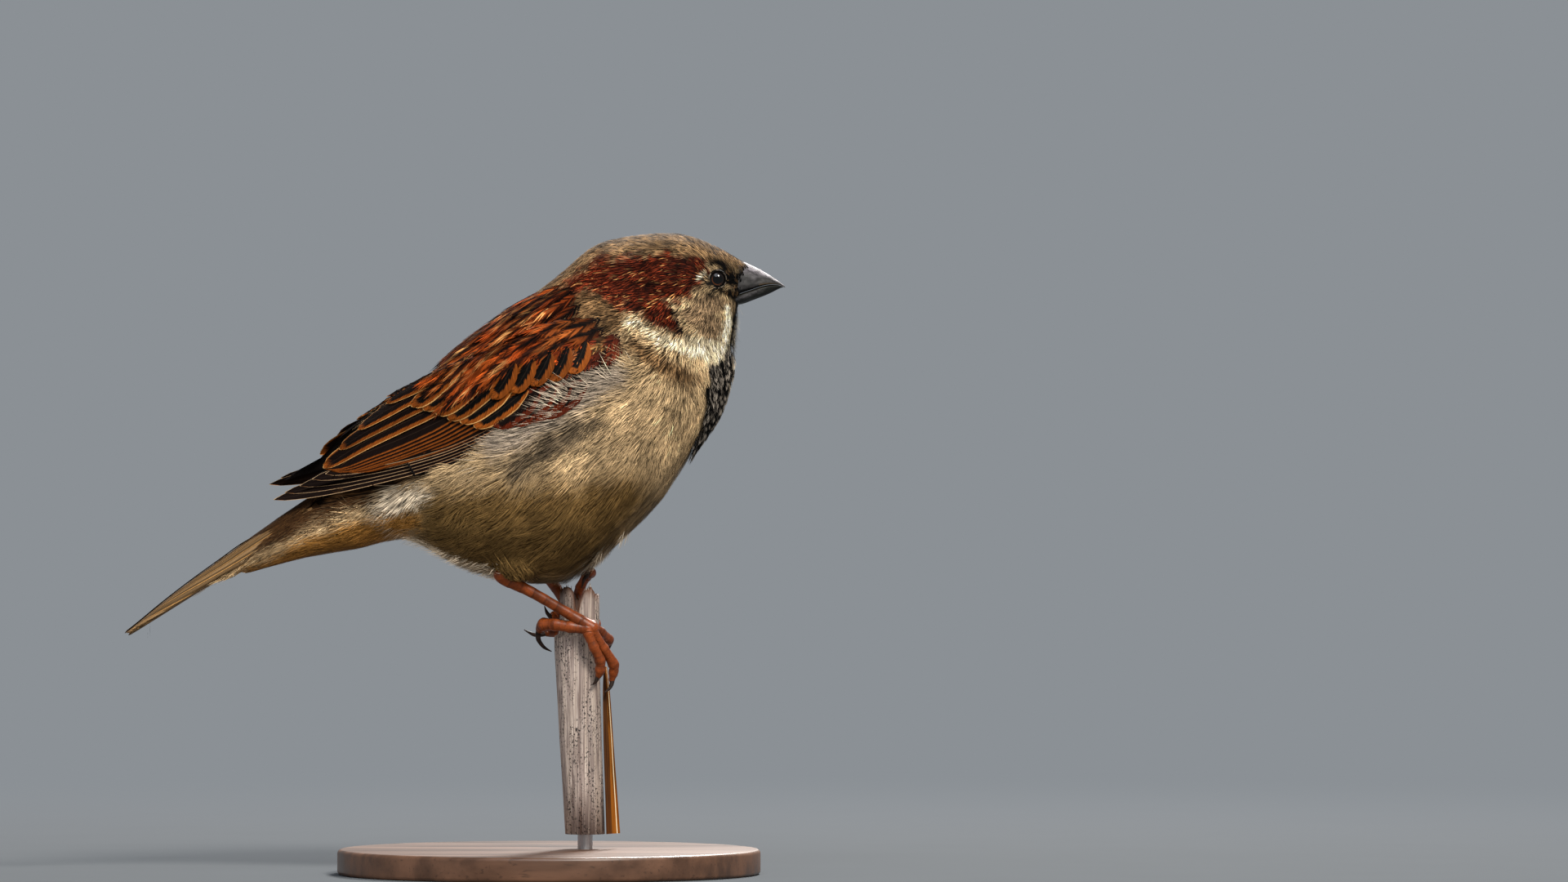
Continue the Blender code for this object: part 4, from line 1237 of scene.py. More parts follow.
class SPARROW_OT_coat(bpy.types.Operator):
    """Grows the coat of barbs, from the face to the tail coverts"""

    bl_idname = "sparrow.coat"
    bl_label = "Coat"

    def execute(self, context):
        form = add_object("form", hull().copy())
        out = points_of(hull())[:, 1]
        for index, (name, layer) in enumerate(coat_layers().items()):
            coat = COATS[name]
            shape = plume_mesh if name in PLUMES else tuft_mesh
            feather = add_object("tuft", shape(coat, TUFT_SEED + index))
            material = coat_material(COAT_PAINTED_BACKLIGHT.get(name, 0.0))
            for side, way in SIDES:
                here = (layer[-1] > 0.02) * (out * way >= 0)
                mesh = grow_coat(
                    "coat_" + name,
                    part_of(hull(), here, dict(zip(GROUND_VALUES, layer))),
                    Feather=feather,
                    Form=form,
                    Spacing=coat.spacing * sizes().closeness * MM,
                    Seed=sizes().seed,
                    Turn=TUFT_TURN,
                    Material=material,
                )
                paint_tufts(mesh, name)
                piece(f"coat_{name}_{side}", mesh, material)
            bpy.data.objects.remove(feather, do_unlink=True)
        bpy.data.objects.remove(form, do_unlink=True)
        return {"FINISHED"}


# ---------------------------------------------------------------- broad feathers

# A row of wing feathers, laid from its first to its last. Places are down the folded wing from
# the wrist, and across it towards the flank.
Row = namedtuple("Row", "name count first_base first_tip last_base last_tip inner outer level point bend look")
ROWS = (
    Row("primaries", 6, (31.7, 5.8), (77.8, -0.4), (31.7, 2.4), (63.5, -1.2), 3.4, 1.2, -0.40, 0.62, 1.0, "primary"),
    Row(
        *("secondaries", 7, (31.1, 2.2), (61.8, 0.3), (32.9, -2.8), (66.1, -1.8)),
        *(3.2, 1.5, -0.30, 0.80, 0.5, "secondary"),
    ),
    Row("tertials", 3, (33.8, -4.8), (66.2, -2.4), (31.9, -9.2), (57.2, -6.8), 2.4, 1.7, 0.0, 0.62, -0.8, "tertial"),
    Row(
        *("inner_tertial", 1, (28.6, -10.6), (49.8, -9.8), (28.6, -10.6), (49.8, -9.8)),
        *(1.6, 1.6, 0.15, 0.6, -0.5, "tertial"),
    ),
    Row(
        *("greater_outer", 4, (11.5, 1.6), (22.0, 4.4), (20.6, -0.4), (31.2, 3.0)),
        *(2.4, 2.2, 0.1, 0.6, 0.4, "greater_outer"),
    ),
    Row("greater", 6, (22.6, -1.6), (34.9, 1.6), (33.6, -10.6), (45.4, -6.6), 1.9, 1.9, 0.15, 0.62, 0.4, "greater"),
    Row("median", 5, (8.5, -5.6), (13.6, -1.0), (22.9, -6.9), (29.4, -1.8), 1.7, 1.9, 0.45, 0.55, 0.3, "median"),
)
# How much the inner web of a row's feathers narrows to the tip, and how sharp the tip is
FLIGHT_TIPS = {"primaries": (0.55, 0.55), "secondaries": (0.85, 0.85)}
OTHER_TIPS = (0.0, 0.5)

Look = namedtuple("Look", "core edge fringe outer_cut end_cut inner_cut fringe_cut ragged")
LOOKS = {
    "primary": Look("flight", "golden", "cheek", 0.20, 2.0, 2.0, 0.92, 0.05),
    "secondary": Look("flight", "golden", "golden", 0.46, 2.0, 2.0, 1.2, 0.09),
    "tertial": Look("flight", "golden", "buff", 0.58, 0.96, 0.80, 0.92, 0.15),
    "greater": Look("black", "golden", "buff", 0.50, 0.88, 0.42, 0.89, 0.45),
    "greater_outer": Look("flight", "chestnut", "golden", 0.52, 0.92, 0.5, 1.2, 0.6),
    "median": Look("black", "golden", "buff", 0.40, 0.80, 0.62, 1.1, 0.5),
}
TAIL_START = (-80.0, -45.5)  # forward and up from the eye
TAIL_FEATHERS = 13
TAIL_HALF_WIDTH = math.radians(12)
TAIL_SQUARENESS = 2.4  # 2 would make its section round
TAIL_SHADES = (1.0, 0.62, 0.85, 0.5)
TAIL_COVERED = 0.44  # share of the tail's feathers that lies under the coverts
WING_FREE = 56  # how far down the folded wing its tip comes free of the body
BARBS_PER_MM = 2.6
TILT = 0.14  # each feather's outer edge rides over the next one
WIDE = 9  # points across a vane

# A feather ready to be joined: its points and faces, where each point is on the vane, the three
# colours there, and where one colour ends and the next begins
Vane = namedtuple("Vane", "points faces across along web core edge fringe cut chance rim")


def vane_outline(along, point, taper=0.5):
    """A vane's half-width, 0 to 1, from its quill to its tip. More taper makes it sharper."""
    growth = 0.35 + 0.65 * np.clip(along / 0.3, 0, 1) ** 0.7
    end = np.clip((along - point) / (1.001 - point), 0, 1)
    return growth * (1 - end**2.2) ** taper


class Wing:
    """One folded wing: its own axes, and the height of its outer face over them."""

    def __init__(self, name, side):
        self.side = side
        mesh = node_mesh((f"wing_{name}",))
        points = points_of(mesh) / MM
        self.wrist = points[points[:, 0].argmax()][[0, 2]]
        tip = points[points[:, 0].argmin()][[0, 2]]
        self.down = (tip - self.wrist) / np.linalg.norm(tip - self.wrist)
        self.across = np.array((-self.down[1], self.down[0]))
        if self.across[1] > 0:
            self.across *= -1
        tree = search_tree(mesh)
        self.form = search_tree(hull())
        rows = []
        for s in np.arange(-4.0, 82.0, 1.0):
            for t in np.arange(-18.0, 14.0, 0.75):
                x, z = self.wrist + self.down * s + self.across * t
                hit, normal = tree.ray_cast(Vector((x, side * 60, z)) * MM, Vector((0, -side, 0)))[:2]
                if hit and abs(normal.y) > 0.62:
                    rows.append((s, t, abs(hit.y) / MM))
        rows = np.array(rows)
        self.fit = np.linalg.lstsq(self.terms(rows[:, 0], rows[:, 1]), rows[:, 2], rcond=None)[0]

    @staticmethod
    def terms(s, t):
        s, t = s / 40 - 1, t / 15
        return np.column_stack([s**i * t**j for i in range(5) for j in range(3) if i + j < 6])

    def points(self, s, t, lift):
        """Places on the wing, laid on the bird's outline and lifted; the free tip keeps the fitted face."""
        flat = self.wrist + s[:, None] * self.down + t[:, None] * self.across
        fitted = np.column_stack((flat[:, 0], self.side * (self.terms(s, t) @ self.fit), flat[:, 1])) * MM
        free = np.clip((s - WING_FREE) / 8, 0, 1)
        made = []
        for place, share, rise in zip(fitted, free, lift):
            near, normal = self.form.find_nearest(Vector(place))[:2]
            normal = normal.lerp(Vector((0, self.side, 0)), share)
            made.append(near.lerp(Vector(place), share) + normal * rise * MM)
        made = np.array(made)
        made[:, 1] = self.side * np.maximum(made[:, 1] * self.side, 0.25 * MM)
        return made


def lay_row(wing, row, random, vanes):
    """Adds the feathers of one row to a list of vanes."""
    look = LOOKS[row.look]
    flight = row.name in FLIGHT_TIPS
    narrow, taper = FLIGHT_TIPS.get(row.name, OTHER_TIPS)
    for k in range(row.count):
        share = k / max(row.count - 1, 1)
        base = np.array(row.first_base) * (1 - share) + np.array(row.last_base) * share
        tip = np.array(row.first_tip) * (1 - share) + np.array(row.last_tip) * share
        tip = tip + random.uniform(-0.25, 0.25, 2)
        length = np.linalg.norm(tip - base)
        onward = (tip - base) / length
        outward = np.array((-onward[1], onward[0]))
        vary = random.uniform(0.8, 1.25)

        def add(u, v, faces, chance, extra):
            outline = vane_outline(np.clip(v, 0, 1), row.point, taper)
            side = u * np.where(u > 0, row.outer, row.inner * (1 - narrow * v**1.5)) * outline
            bent = side + row.bend * 4 * v * (1 - v)
            place = base + v[:, None] * length * onward + bent[:, None] * outward
            lift = row.level + 0.04 * k + TILT * side + 0.12 * (1 - u**2) * row.outer / 2 + 0.25 * v**3 + extra
            points = wing.points(place[:, 0], place[:, 1], lift)
            core, edge, fringe = (np.clip(np.tile(dye(name) * vary, (len(u), 1)), 0, 1) for name in look[:3])
            if row.look == "greater_outer":
                edge = edge * 0.6
            fringe = np.column_stack((fringe, np.full(len(u), look.ragged)))
            cut = np.tile((look.outer_cut, look.end_cut, look.inner_cut, look.fringe_cut), (len(u), 1))
            if flight:
                base_step = abs(row.first_base[1] - row.last_base[1])
                tip_step = abs(row.first_tip[1] - row.last_tip[1])
                bare = (base_step * (1 - v) + tip_step * v) / (row.count - 1)
                cut[:, 0] = 1 - np.clip(look.outer_cut * bare / np.maximum(row.outer * outline, 0.05), 0.05, 0.9)
            rim = np.maximum(np.abs(u), 1 - (1 - v) * length / row.outer)
            web = np.column_stack((side, v * length))
            vanes.append(Vane(points, faces, u, v, web, core, edge, fringe, cut, chance, rim))

        fine = 22 if length > 20 else 14
        u, v = np.meshgrid(np.linspace(-1, 1, WIDE), np.linspace(0, 1, fine + 1))
        faces = quads_as_triangles(grid_faces(WIDE, fine + 1))
        add(u.ravel(), v.ravel(), faces, np.full(u.size, random.uniform(0, 1)), 0.0)
        if not flight:
            add(*barb_strips(row, length, random))


STRIP_STOPS = np.array((0.0, 0.35, 0.7, 1.0))
STRIP_FACES = ((0, 1, 3), (0, 3, 2), (2, 3, 5), (2, 5, 4), (4, 5, 6))
STRIP_POINTS = 7


def strip_pairs(rows):
    """One row per stop of a strip as one per point: two at each stop, and one at its tip."""
    return np.concatenate((np.repeat(rows[:3], 2), rows[3:]))


def barb_strips(row, length, random):
    """Slanting barbs over both webs of a feather: their places, faces, chance and lift."""
    count = int(length * BARBS_PER_MM)
    us, vs, faces, chances, lifts = [], [], [], [], []
    for side in (-1.0, 1.0):
        reach = 0.9 * (row.outer if side > 0 else row.inner) / length * 1.6
        for k in range(count):
            start = 0.04 + 0.94 * k / count + random.uniform(-0.3, 0.3) / count
            far = min(start + reach * random.uniform(0.85, 1.15), 0.985 + random.uniform(0, 0.02))
            chance = random.uniform(0, 1)
            first = len(us) * STRIP_POINTS
            middle = start + (far - start) * STRIP_STOPS**1.15
            out = side * STRIP_STOPS * random.uniform(0.97, 1.05)
            half = 0.16 / length * np.array((1.0, 1.0, 0.8))
            us.append(strip_pairs(out))
            pairs = np.column_stack((middle[:3] - half, middle[:3] + half)).ravel()
            vs.append(np.concatenate((pairs, middle[3:])))
            turned = [face if side < 0 else face[::-1] for face in STRIP_FACES]
            faces += [tuple(first + corner for corner in face) for face in turned]
            chances.append(np.full(STRIP_POINTS, chance))
            lifts.append(0.03 + 0.07 * chance * strip_pairs(STRIP_STOPS))
    v = np.clip(np.concatenate(vs), 0, 1)
    return np.concatenate(us), v, np.array(faces)[:, ::-1], np.concatenate(chances), np.concatenate(lifts)


def join_vanes(name, vanes, flip):
    """One mesh from feathers laid one by one, each with its own patch of the bake's map."""
    whole = {key: np.concatenate([getattr(vane, key) for vane in vanes]) for key in Vane._fields if key != "faces"}
    starts = np.cumsum([0] + [len(vane.points) for vane in vanes[:-1]])
    faces = np.concatenate([vane.faces + start for vane, start in zip(vanes, starts)])
    mesh = new_mesh(name, whole["points"], faces[:, ::-1] if flip else faces)
    set_numbers(mesh, {key: whole[key] for key in ("across", "along", "chance", "rim")})
    for key in ("core", "edge", "fringe", "cut"):
        set_values(mesh, key, "FLOAT_COLOR", whole[key])
    set_uv(mesh, "vane", whole["web"])
    columns = math.ceil(math.sqrt(len(vanes)))
    patches = []
    for k, vane in enumerate(vanes):
        corner = np.array((k % columns, k // columns))
        patches.append((corner + 0.5 + 0.45 * np.column_stack((vane.across, vane.along * 2 - 1))) / columns)
    set_uv(mesh, "OFBake", np.concatenate(patches))
    return mesh


# Where the wing's core is held under the feathers of its tip: down the wing, and across it
CORE_TOP = ((50, 57, 62, 66, 72, 77), (-11.0, -6.3, -3.8, -1.7, -0.8, -0.3))
CORE_BOTTOM = ((50, 60, 70, 77), (3.0, 1.6, 0.4, -0.2))
CORE_DEPTH = 0.45


class SPARROW_OT_wings(bpy.types.Operator):
    """Lays the feathers of both folded wings, row over row"""

    bl_idname = "sparrow.wings"
    bl_label = "Wings"

    def execute(self, context):
        for name, side in SIDES:
            wing = Wing(name, side)
            random = np.random.default_rng(sizes().seed + 1)
            vanes = []
            for row in ROWS:
                lay_row(wing, row, random, vanes)
            mesh = join_vanes("wing_feathers", vanes, side > 0)
            piece(f"wing_feathers_{name}", mesh, vane_material(), (f"wing_{name}",))
            core = melted((f"wing_{name}",), -0.12, 0.45, 3)
            inward = points_of(core) - normals_of(core) * CORE_DEPTH * MM
            flat = inward[:, (0, 2)] / MM - wing.wrist
            down, across = flat @ wing.down, flat @ wing.across
            top = np.interp(down, *CORE_TOP)
            held = np.clip(across, top, np.maximum(np.interp(down, *CORE_BOTTOM), top + 0.2))
            inward[:, (0, 2)] += np.outer(np.where(down > 50, held - across, 0), wing.across) * MM
            move_points(core, inward)
            # Painted shade: the core under the wing's feathers is a darker copy of the flight feathers' colour
            set_values(core, "plumage", "FLOAT_COLOR", np.tile(dye("flight") * 0.8, (len(inward), 1)))
            piece(f"wing_core_{name}", core, skin_material())
        return {"FINISHED"}


class SPARROW_OT_tail(bpy.types.Operator):
    """Folds the tail feathers round one another, from the coverts to the tip"""

    bl_idname = "sparrow.tail"
    bl_label = "Tail"

    def execute(self, context):
        axis, up, girth = self.shape()
        vanes = [self.vane(side, k, axis, up, girth) for side in (-1.0, 1.0) for k in range(TAIL_FEATHERS)]
        mesh = join_vanes("tail_feathers", vanes, False)
        piece("tail_feathers", mesh, vane_material(), ("tail",))
        core = melted(("tail",), -0.3, 0.45, 2)
        points = points_of(core)
        points[:, 0] = np.maximum(points[:, 0], (node_box("tail")[0][0] + 5.0) * MM)
        move_points(core, points)
        # Painted shade: the core under the tail's feathers is near black, darker than their own colour, so gaps
        # between them read as shade
        set_values(core, "plumage", "FLOAT_COLOR", np.tile(dye("flight"), (len(points), 1)))
        piece("tail_core", core, skin_material())
        return {"FINISHED"}

    def shape(self):
        """The tail's axis, the way up from each of its points, and its reach up, sideways and down."""
        tree = search_tree(body_form())
        low, high = node_box("tail")
        start = np.array((TAIL_START[0] + EYE[0], 0.0, TAIL_START[1] + EYE[2]))
        joint = np.array((high[0] - 2, 0.0, (high[2] + node_box("rump")[0][2]) / 2 - 0.6))
        end = np.array((low[0] + 0.5, 0.0, low[2] + 0.9))
        axis = through((start, joint, end), 13)[0]
        ahead = np.gradient(axis, axis=0)
        ahead /= np.linalg.norm(ahead, axis=1, keepdims=True)
        up = np.column_stack((ahead[:, 2], np.zeros(len(axis)), -ahead[:, 0]))
        girth = []
        for point, above in zip(axis, up):
            for way in (above, np.array((0.0, 1.0, 0.0)), -above):
                hit = tree.ray_cast(Vector(point + way * 40) * MM, Vector(-way))[0]
                girth.append((Vector(hit) / MM - Vector(point)).dot(Vector(way)) if hit else 0.6)
        girth = np.maximum(np.array(girth).reshape(-1, 3) - 0.45, 0.35)
        for _ in range(4):
            girth[1:-1] = girth[:-2] * 0.25 + girth[1:-1] * 0.5 + girth[2:] * 0.25
        return axis, up, girth

    def vane(self, side, k, axis, up, girth):
        """One feather, wrapped round the tail: the middle ones lie on top, the outer ones below."""
        share, last = k / (TAIL_FEATHERS - 1), len(axis) - 1
        at_base, at_tip = math.radians(172 * share + 4), math.radians(100 * share + 10)
        u, v = np.meshgrid(np.linspace(-1, 1, WIDE), np.linspace(0, 1, len(axis)))
        u, v = u.ravel(), v.ravel()
        angle = side * (at_base * (1 - v) + at_tip * v + u * vane_outline(v, 0.9) * TAIL_HALF_WIDTH)
        reach = v * (1 - 0.05 * abs(share - 0.4)) * last
        middle, above, size = (
            np.column_stack([np.interp(reach, range(len(axis)), column) for column in rows.T])
            for rows in (axis, up, girth)
        )
        high_low = np.where(np.cos(angle) > 0, size[:, 0], size[:, 2])
        power = TAIL_SQUARENESS
        out = (np.abs(np.sin(angle)) / size[:, 1]) ** power + (np.abs(np.cos(angle)) / high_low) ** power
        out = out ** (-1 / power)
        out += 0.16 * (1 - share) + 0.10 * u + 0.1 - 1.2 * np.clip((TAIL_COVERED - v) / 0.22, 0, 1)
        spoke = above * np.cos(angle)[:, None] + np.array((0.0, 1.0, 0.0)) * np.sin(angle)[:, None]
        shade = TAIL_SHADES[k % len(TAIL_SHADES)]
        faces = grid_faces(WIDE, len(axis))
        fringe = (*(dye("buff") * (0.35 + 0.45 * shade)), 0.12)
        cut = (0.55, 2.0, 0.45, 0.86)
        return Vane(
            (middle + spoke * out[:, None]) * MM,
            quads_as_triangles(faces[:, ::-1] if side < 0 else faces),
            u,
            v * 0.8,
            np.column_stack((u * 1.6, v * 36)),
            *(np.tile(row, (len(u), 1)) for row in (dye("tail") * shade, dye("tail") * 0.30, fringe, cut)),
            np.full(len(u), k / 7),
            np.abs(u),
        )


# ---------------------------------------------------------------- head


def horn_material(name, colour):
    """Horn: darker along its growth lines, with a painted highlight on the bill's ridge and nostril flap."""
    made = Shader(name, Roughness=0.5, Specular_IOR_Level=0.22)
    grain, patch = made.grain((420, 1100, 1100), 4.0), made.grain((620, 1300, 1500), 4.0, 0.75)
    # Painted highlight: where the attribute is set, on the bill's top ridge and nostril flap, the horn turns a pale
    # lilac grey, as where light falls on it
    painted_highlight = made.math("MULTIPLY", made.attribute("sheen"), made.between(patch, 0.38, 0.58, 0.3, 1.0))
    made.colour(
        made.over(
            tint(colour, 0.34),
            (made.between(patch, 0.36, 0.60), tint(colour, 1.4)),
            (painted_highlight, rgb(148, 141, 147)),
            (made.attribute("edge_line"), rgb(96, 78, 54)),
            (made.attribute("shade"), rgb(9, 7, 6)),
            (made.between(grain, 0.4, 0.7, 0.0, 0.5), tint(colour, 0.3)),
        )
    )
    made.set("Roughness", made.between(grain, 0.3, 0.7, 0.5, 0.7))
    made.bump(grain, 0.45, 0.1 * MM)
    return made.material


# The bill at places along it: forward from its base, top, gape line and underside, and half-width
BILL = (
    (-2.2, 121.7, 114.5, 112.8, 4.1),
    (0.0, 121.55, 115.45, 113.2, 3.75),
    (1.8, 120.8, 116.05, 113.85, 3.2),
    (3.5, 119.95, 116.65, 114.5, 2.6),
    (5.2, 118.95, 117.0, 115.2, 1.95),
    (6.7, 117.95, 117.0, 115.95, 1.25),
    (7.8, 117.15, 116.72, 116.45, 0.62),
    (8.35, 116.62, 116.42, 116.4, 0.12),
)
BILL_ROUND = 48  # points round the bill
SHORTER = 5  # the lower half ends this many rings before the upper one


def bill_ring(low, high, middle, half):
    """A ring round one half of the bill: out, up, and its height as a share of the half's."""
    angles = angles_round(BILL_ROUND)
    z = middle + np.cos(angles) * np.where(np.cos(angles) > 0, high - middle, middle - low)
    y = half * np.sin(angles) * (1 - 0.12 * np.clip(np.cos(angles), 0, 1))
    return y, z, (z - low) / max(high - low, 1e-3)


def upper_ring(x, top, gape, under, half):
    """A ring of the upper half, with its nostril: out, up, painted highlight on the ridge and flap, pale edge, and
    darkening that is painted shade in the nostril and a darker band along the side.
    """
    y, z, height = bill_ring(gape, top, gape + 0.12 * (top - gape), half)
    near = np.exp(-(((x - 3.0) / 0.55) ** 2 + ((z - 117.95) / 0.24) ** 2))
    flap = np.exp(-(((x - 2.4) / 0.9) ** 2 + ((z - 118.45) / 0.3) ** 2))
    y = y - np.sign(y) * (0.32 * near - 0.16 * flap) * (np.abs(y) > 0.8)
    # Painted highlight: the ridge along the top, and the nostril's flap, are lightened
    ridge = np.clip((height - 0.60) / 0.28, 0, 1) * (1 - 0.35 * np.clip((x - 5) / 3, 0, 1))
    sheen = np.clip(ridge * 0.9 + 0.3 * flap, 0, 1)
    edge = np.clip(1 - np.abs(height - 0.1) / 0.07, 0, 1) * (x > 3.2) * 0.7
    # Painted shade in the nostril, and a darker band along the side
    return y, z, sheen, edge, np.clip(near * 1.2 + np.clip(0.5 - np.abs(height - 0.28), 0, 0.3) * 0.9, 0, 1)


def lower_ring(x, top, gape, under, half):
    """A ring of the lower half: out, up, painted highlight along its side, pale edge, and darkening that is painted
    shade on the underside and darker towards the tip.
    """
    y, z, height = bill_ring(under, gape - 0.05, gape - 0.22 * (gape - under), half * 0.93)
    # Painted highlight: a faint pale band along the side, towards the base
    sheen = np.clip(1 - np.abs(height - 0.62) / 0.3, 0, 1) * 0.22 * np.clip((5.0 - x) / 3, 0, 1)
    edge = np.clip(1 - np.abs(height - 0.95) / 0.08, 0, 1) * 0.3
    # Painted shade on the underside; darker towards the tip
    return y, z, sheen, edge, np.clip(0.45 - height, 0, 0.4) + 0.5 * np.clip((x - 3.0) / 4, 0, 1)


def closed_ends(mesh, around, count):
    """Closes both ends of a tube of rings with one face each."""
    made = as_bmesh(mesh)
    for start in (0, (count - 1) * around):
        made.faces.new([made.verts[start + k] for k in range(around)])
    return from_bmesh(made, mesh, 60)


class SPARROW_OT_bill(bpy.types.Operator):
    """Shapes the two halves of the bill and seats them in the face"""

    bl_idname = "sparrow.bill"
    bl_label = "Bill"

    def execute(self, context):
        base = node_box("bill_upper")[0][0]
        rows = through(BILL, 8)[0]
        red, green, blue = tint(colours().bill, 0.34)
        halves = (
            ("upper", upper_ring, rows, tint(colours().bill, 0.58)),
            ("lower", lower_ring, rows[:-SHORTER], (red, green * 1.18, blue * 0.9)),
        )
        for name, ring, sections, colour in halves:
            rings = [(np.full(BILL_ROUND, base + row[0]), *ring(*row)) for row in sections]
            x, y, z, *values = (np.concatenate(column) for column in zip(*rings))
            tube = new_mesh("bill", np.column_stack((x, y, z)) * MM, tube_faces(BILL_ROUND, len(rings)))
            mesh = closed_ends(tube, BILL_ROUND, len(rings))
            set_numbers(mesh, dict(zip(("sheen", "edge_line", "shade"), values)))
            material = horn_material(f"bill_horn_{name}", colour)
            piece(f"bill_horn_{name}", mesh, material, (f"bill_{name}",))
        return {"FINISHED"}


def ring_mesh(name, centre, axis, profile, around, wobble):
    """A lathed mesh round an axis: profile rows are (radius, height), closed at neither end."""
    axis = axis.normalized()
    side = axis.cross(Vector((0.0, 0.0, 1.0))).normalized()
    other = axis.cross(side)
    points = []
    for radius, height in profile:
        for k in range(around):
            angle = TURN * k / around
            spoke = side * math.cos(angle) + other * math.sin(angle)
            points.append((Vector(centre) + spoke * radius * wobble(angle, radius) + axis * height) * MM)
    return new_mesh(name, points, tube_faces(around, len(profile)))


def eye_material(name, centre, axis):
    """A pupil in a dark iris whose brown is painted light, shown only on its lower rear side, under a wet surface."""
    made = Shader(name, Roughness=0.1, Specular_IOR_Level=0.0, Coat_Weight=0.7, Coat_Roughness=0.07)
    offset = made.vector("SUBTRACT", made.place, tuple(centre * MM))
    reach = made.vector("DOT_PRODUCT", offset, tuple(axis), out=1)
    tilt = made.math("DIVIDE", reach, made.vector("LENGTH", offset, out=1))
    fleck = made.noise(made.place, 2600.0, 3.0)
    # Painted light: the iris shows its brown only on the lower rear side, away from the lamps, as light passing
    # through the eye would show it
    low = made.vector("DOT_PRODUCT", offset, (-0.5, 0.0, -0.86), out=1)
    iris = made.over(
        rgb(16, 9, 6),
        (made.between(low, -0.4 * MM, 1.2 * MM), rgb(92, 50, 22)),
        (made.between(fleck, 0.3, 0.7, 0.6, 0.0), rgb(14, 8, 5)),
    )
    iris = made.mix(made.between(tilt, 0.80, 0.86), rgb(8, 6, 5), iris)
    made.colour(made.mix(made.between(tilt, 0.878, 0.895), iris, (0.001, 0.001, 0.001)))
    return made.material


def lid_material(name):
    """Dark bare skin, with a ring of pale dots."""
    made = Shader(name, Roughness=0.6, Specular_IOR_Level=0.02)
    dots = made.noise(made.place, 1500.0, 1.0)
    pale = made.math("MULTIPLY", made.between(dots, 0.40, 0.56), made.attribute("ring"))
    made.colour(made.mix(pale, rgb(6, 5, 4), rgb(168, 150, 130)))
    made.bump(dots, 0.3, 0.06 * MM)
    return made.material


# The lids from their outer rim in: radius, and height over LID_SEAT of the eye's radius
LIDS = (
    *((2.05, -1.2), (1.95, -0.5), (1.87, -0.1), (1.76, 0.04), (1.64, 0.04)),
    *((1.54, 0.03), (1.47, -0.02), (1.43, -0.12), (1.42, -0.5)),
)
LID_SEAT = 0.80
LID_RING = 1.76  # radius of the pale ring
LID_ROUND = 144


class SPARROW_OT_eyes(bpy.types.Operator):
    """Sets the eyes with a brown iris, a wet surface and scaly lids"""

    bl_idname = "sparrow.eyes"
    bl_label = "Eyes"

    def execute(self, context):
        ball = [(EYE_RADIUS * math.sin(a), EYE_RADIUS * math.cos(a)) for a in (math.pi * k / 28 for k in range(1, 28))]
        ball = [(0.02, EYE_RADIUS), *ball, (0.02, -EYE_RADIUS)]
        lids = through([(radius, EYE_RADIUS * LID_SEAT + height) for radius, height in LIDS], 3)[0]
        for name, side in SIDES:
            centre = np.array((EYE[0], side * EYE[1], EYE[2]))
            axis = Vector((0.12, side, 0.02)).normalized()
            mesh = ring_mesh("eye", centre, axis, ball, 48, lambda angle, radius: 1.0)
            piece(f"eyeball_{name}", mesh, eye_material("eye_" + name, centre, axis), (f"eye_{name}",))
            mesh = ring_mesh("lids", centre, axis, lids, LID_ROUND, self.scales)
            spread = (points_of(mesh) / MM - centre) @ np.array((-0.7, 0.0, -0.7)) / LID_RING
            ring = np.repeat(np.exp(-(((lids[:, 0] - LID_RING) / 0.08) ** 2)), LID_ROUND)
            set_values(mesh, "ring", "FLOAT", ring * np.clip(0.55 + 0.6 * spread, 0.2, 1))
            piece(f"eyelids_{name}", mesh, lid_material("lids_" + name))
        return {"FINISHED"}

    @staticmethod
    def scales(angle, radius):
        """24 small scales round the lids."""
        return 1 + 0.008 * math.sin(angle * 24) * (1.6 < radius < 1.95)


# ---------------------------------------------------------------- legs

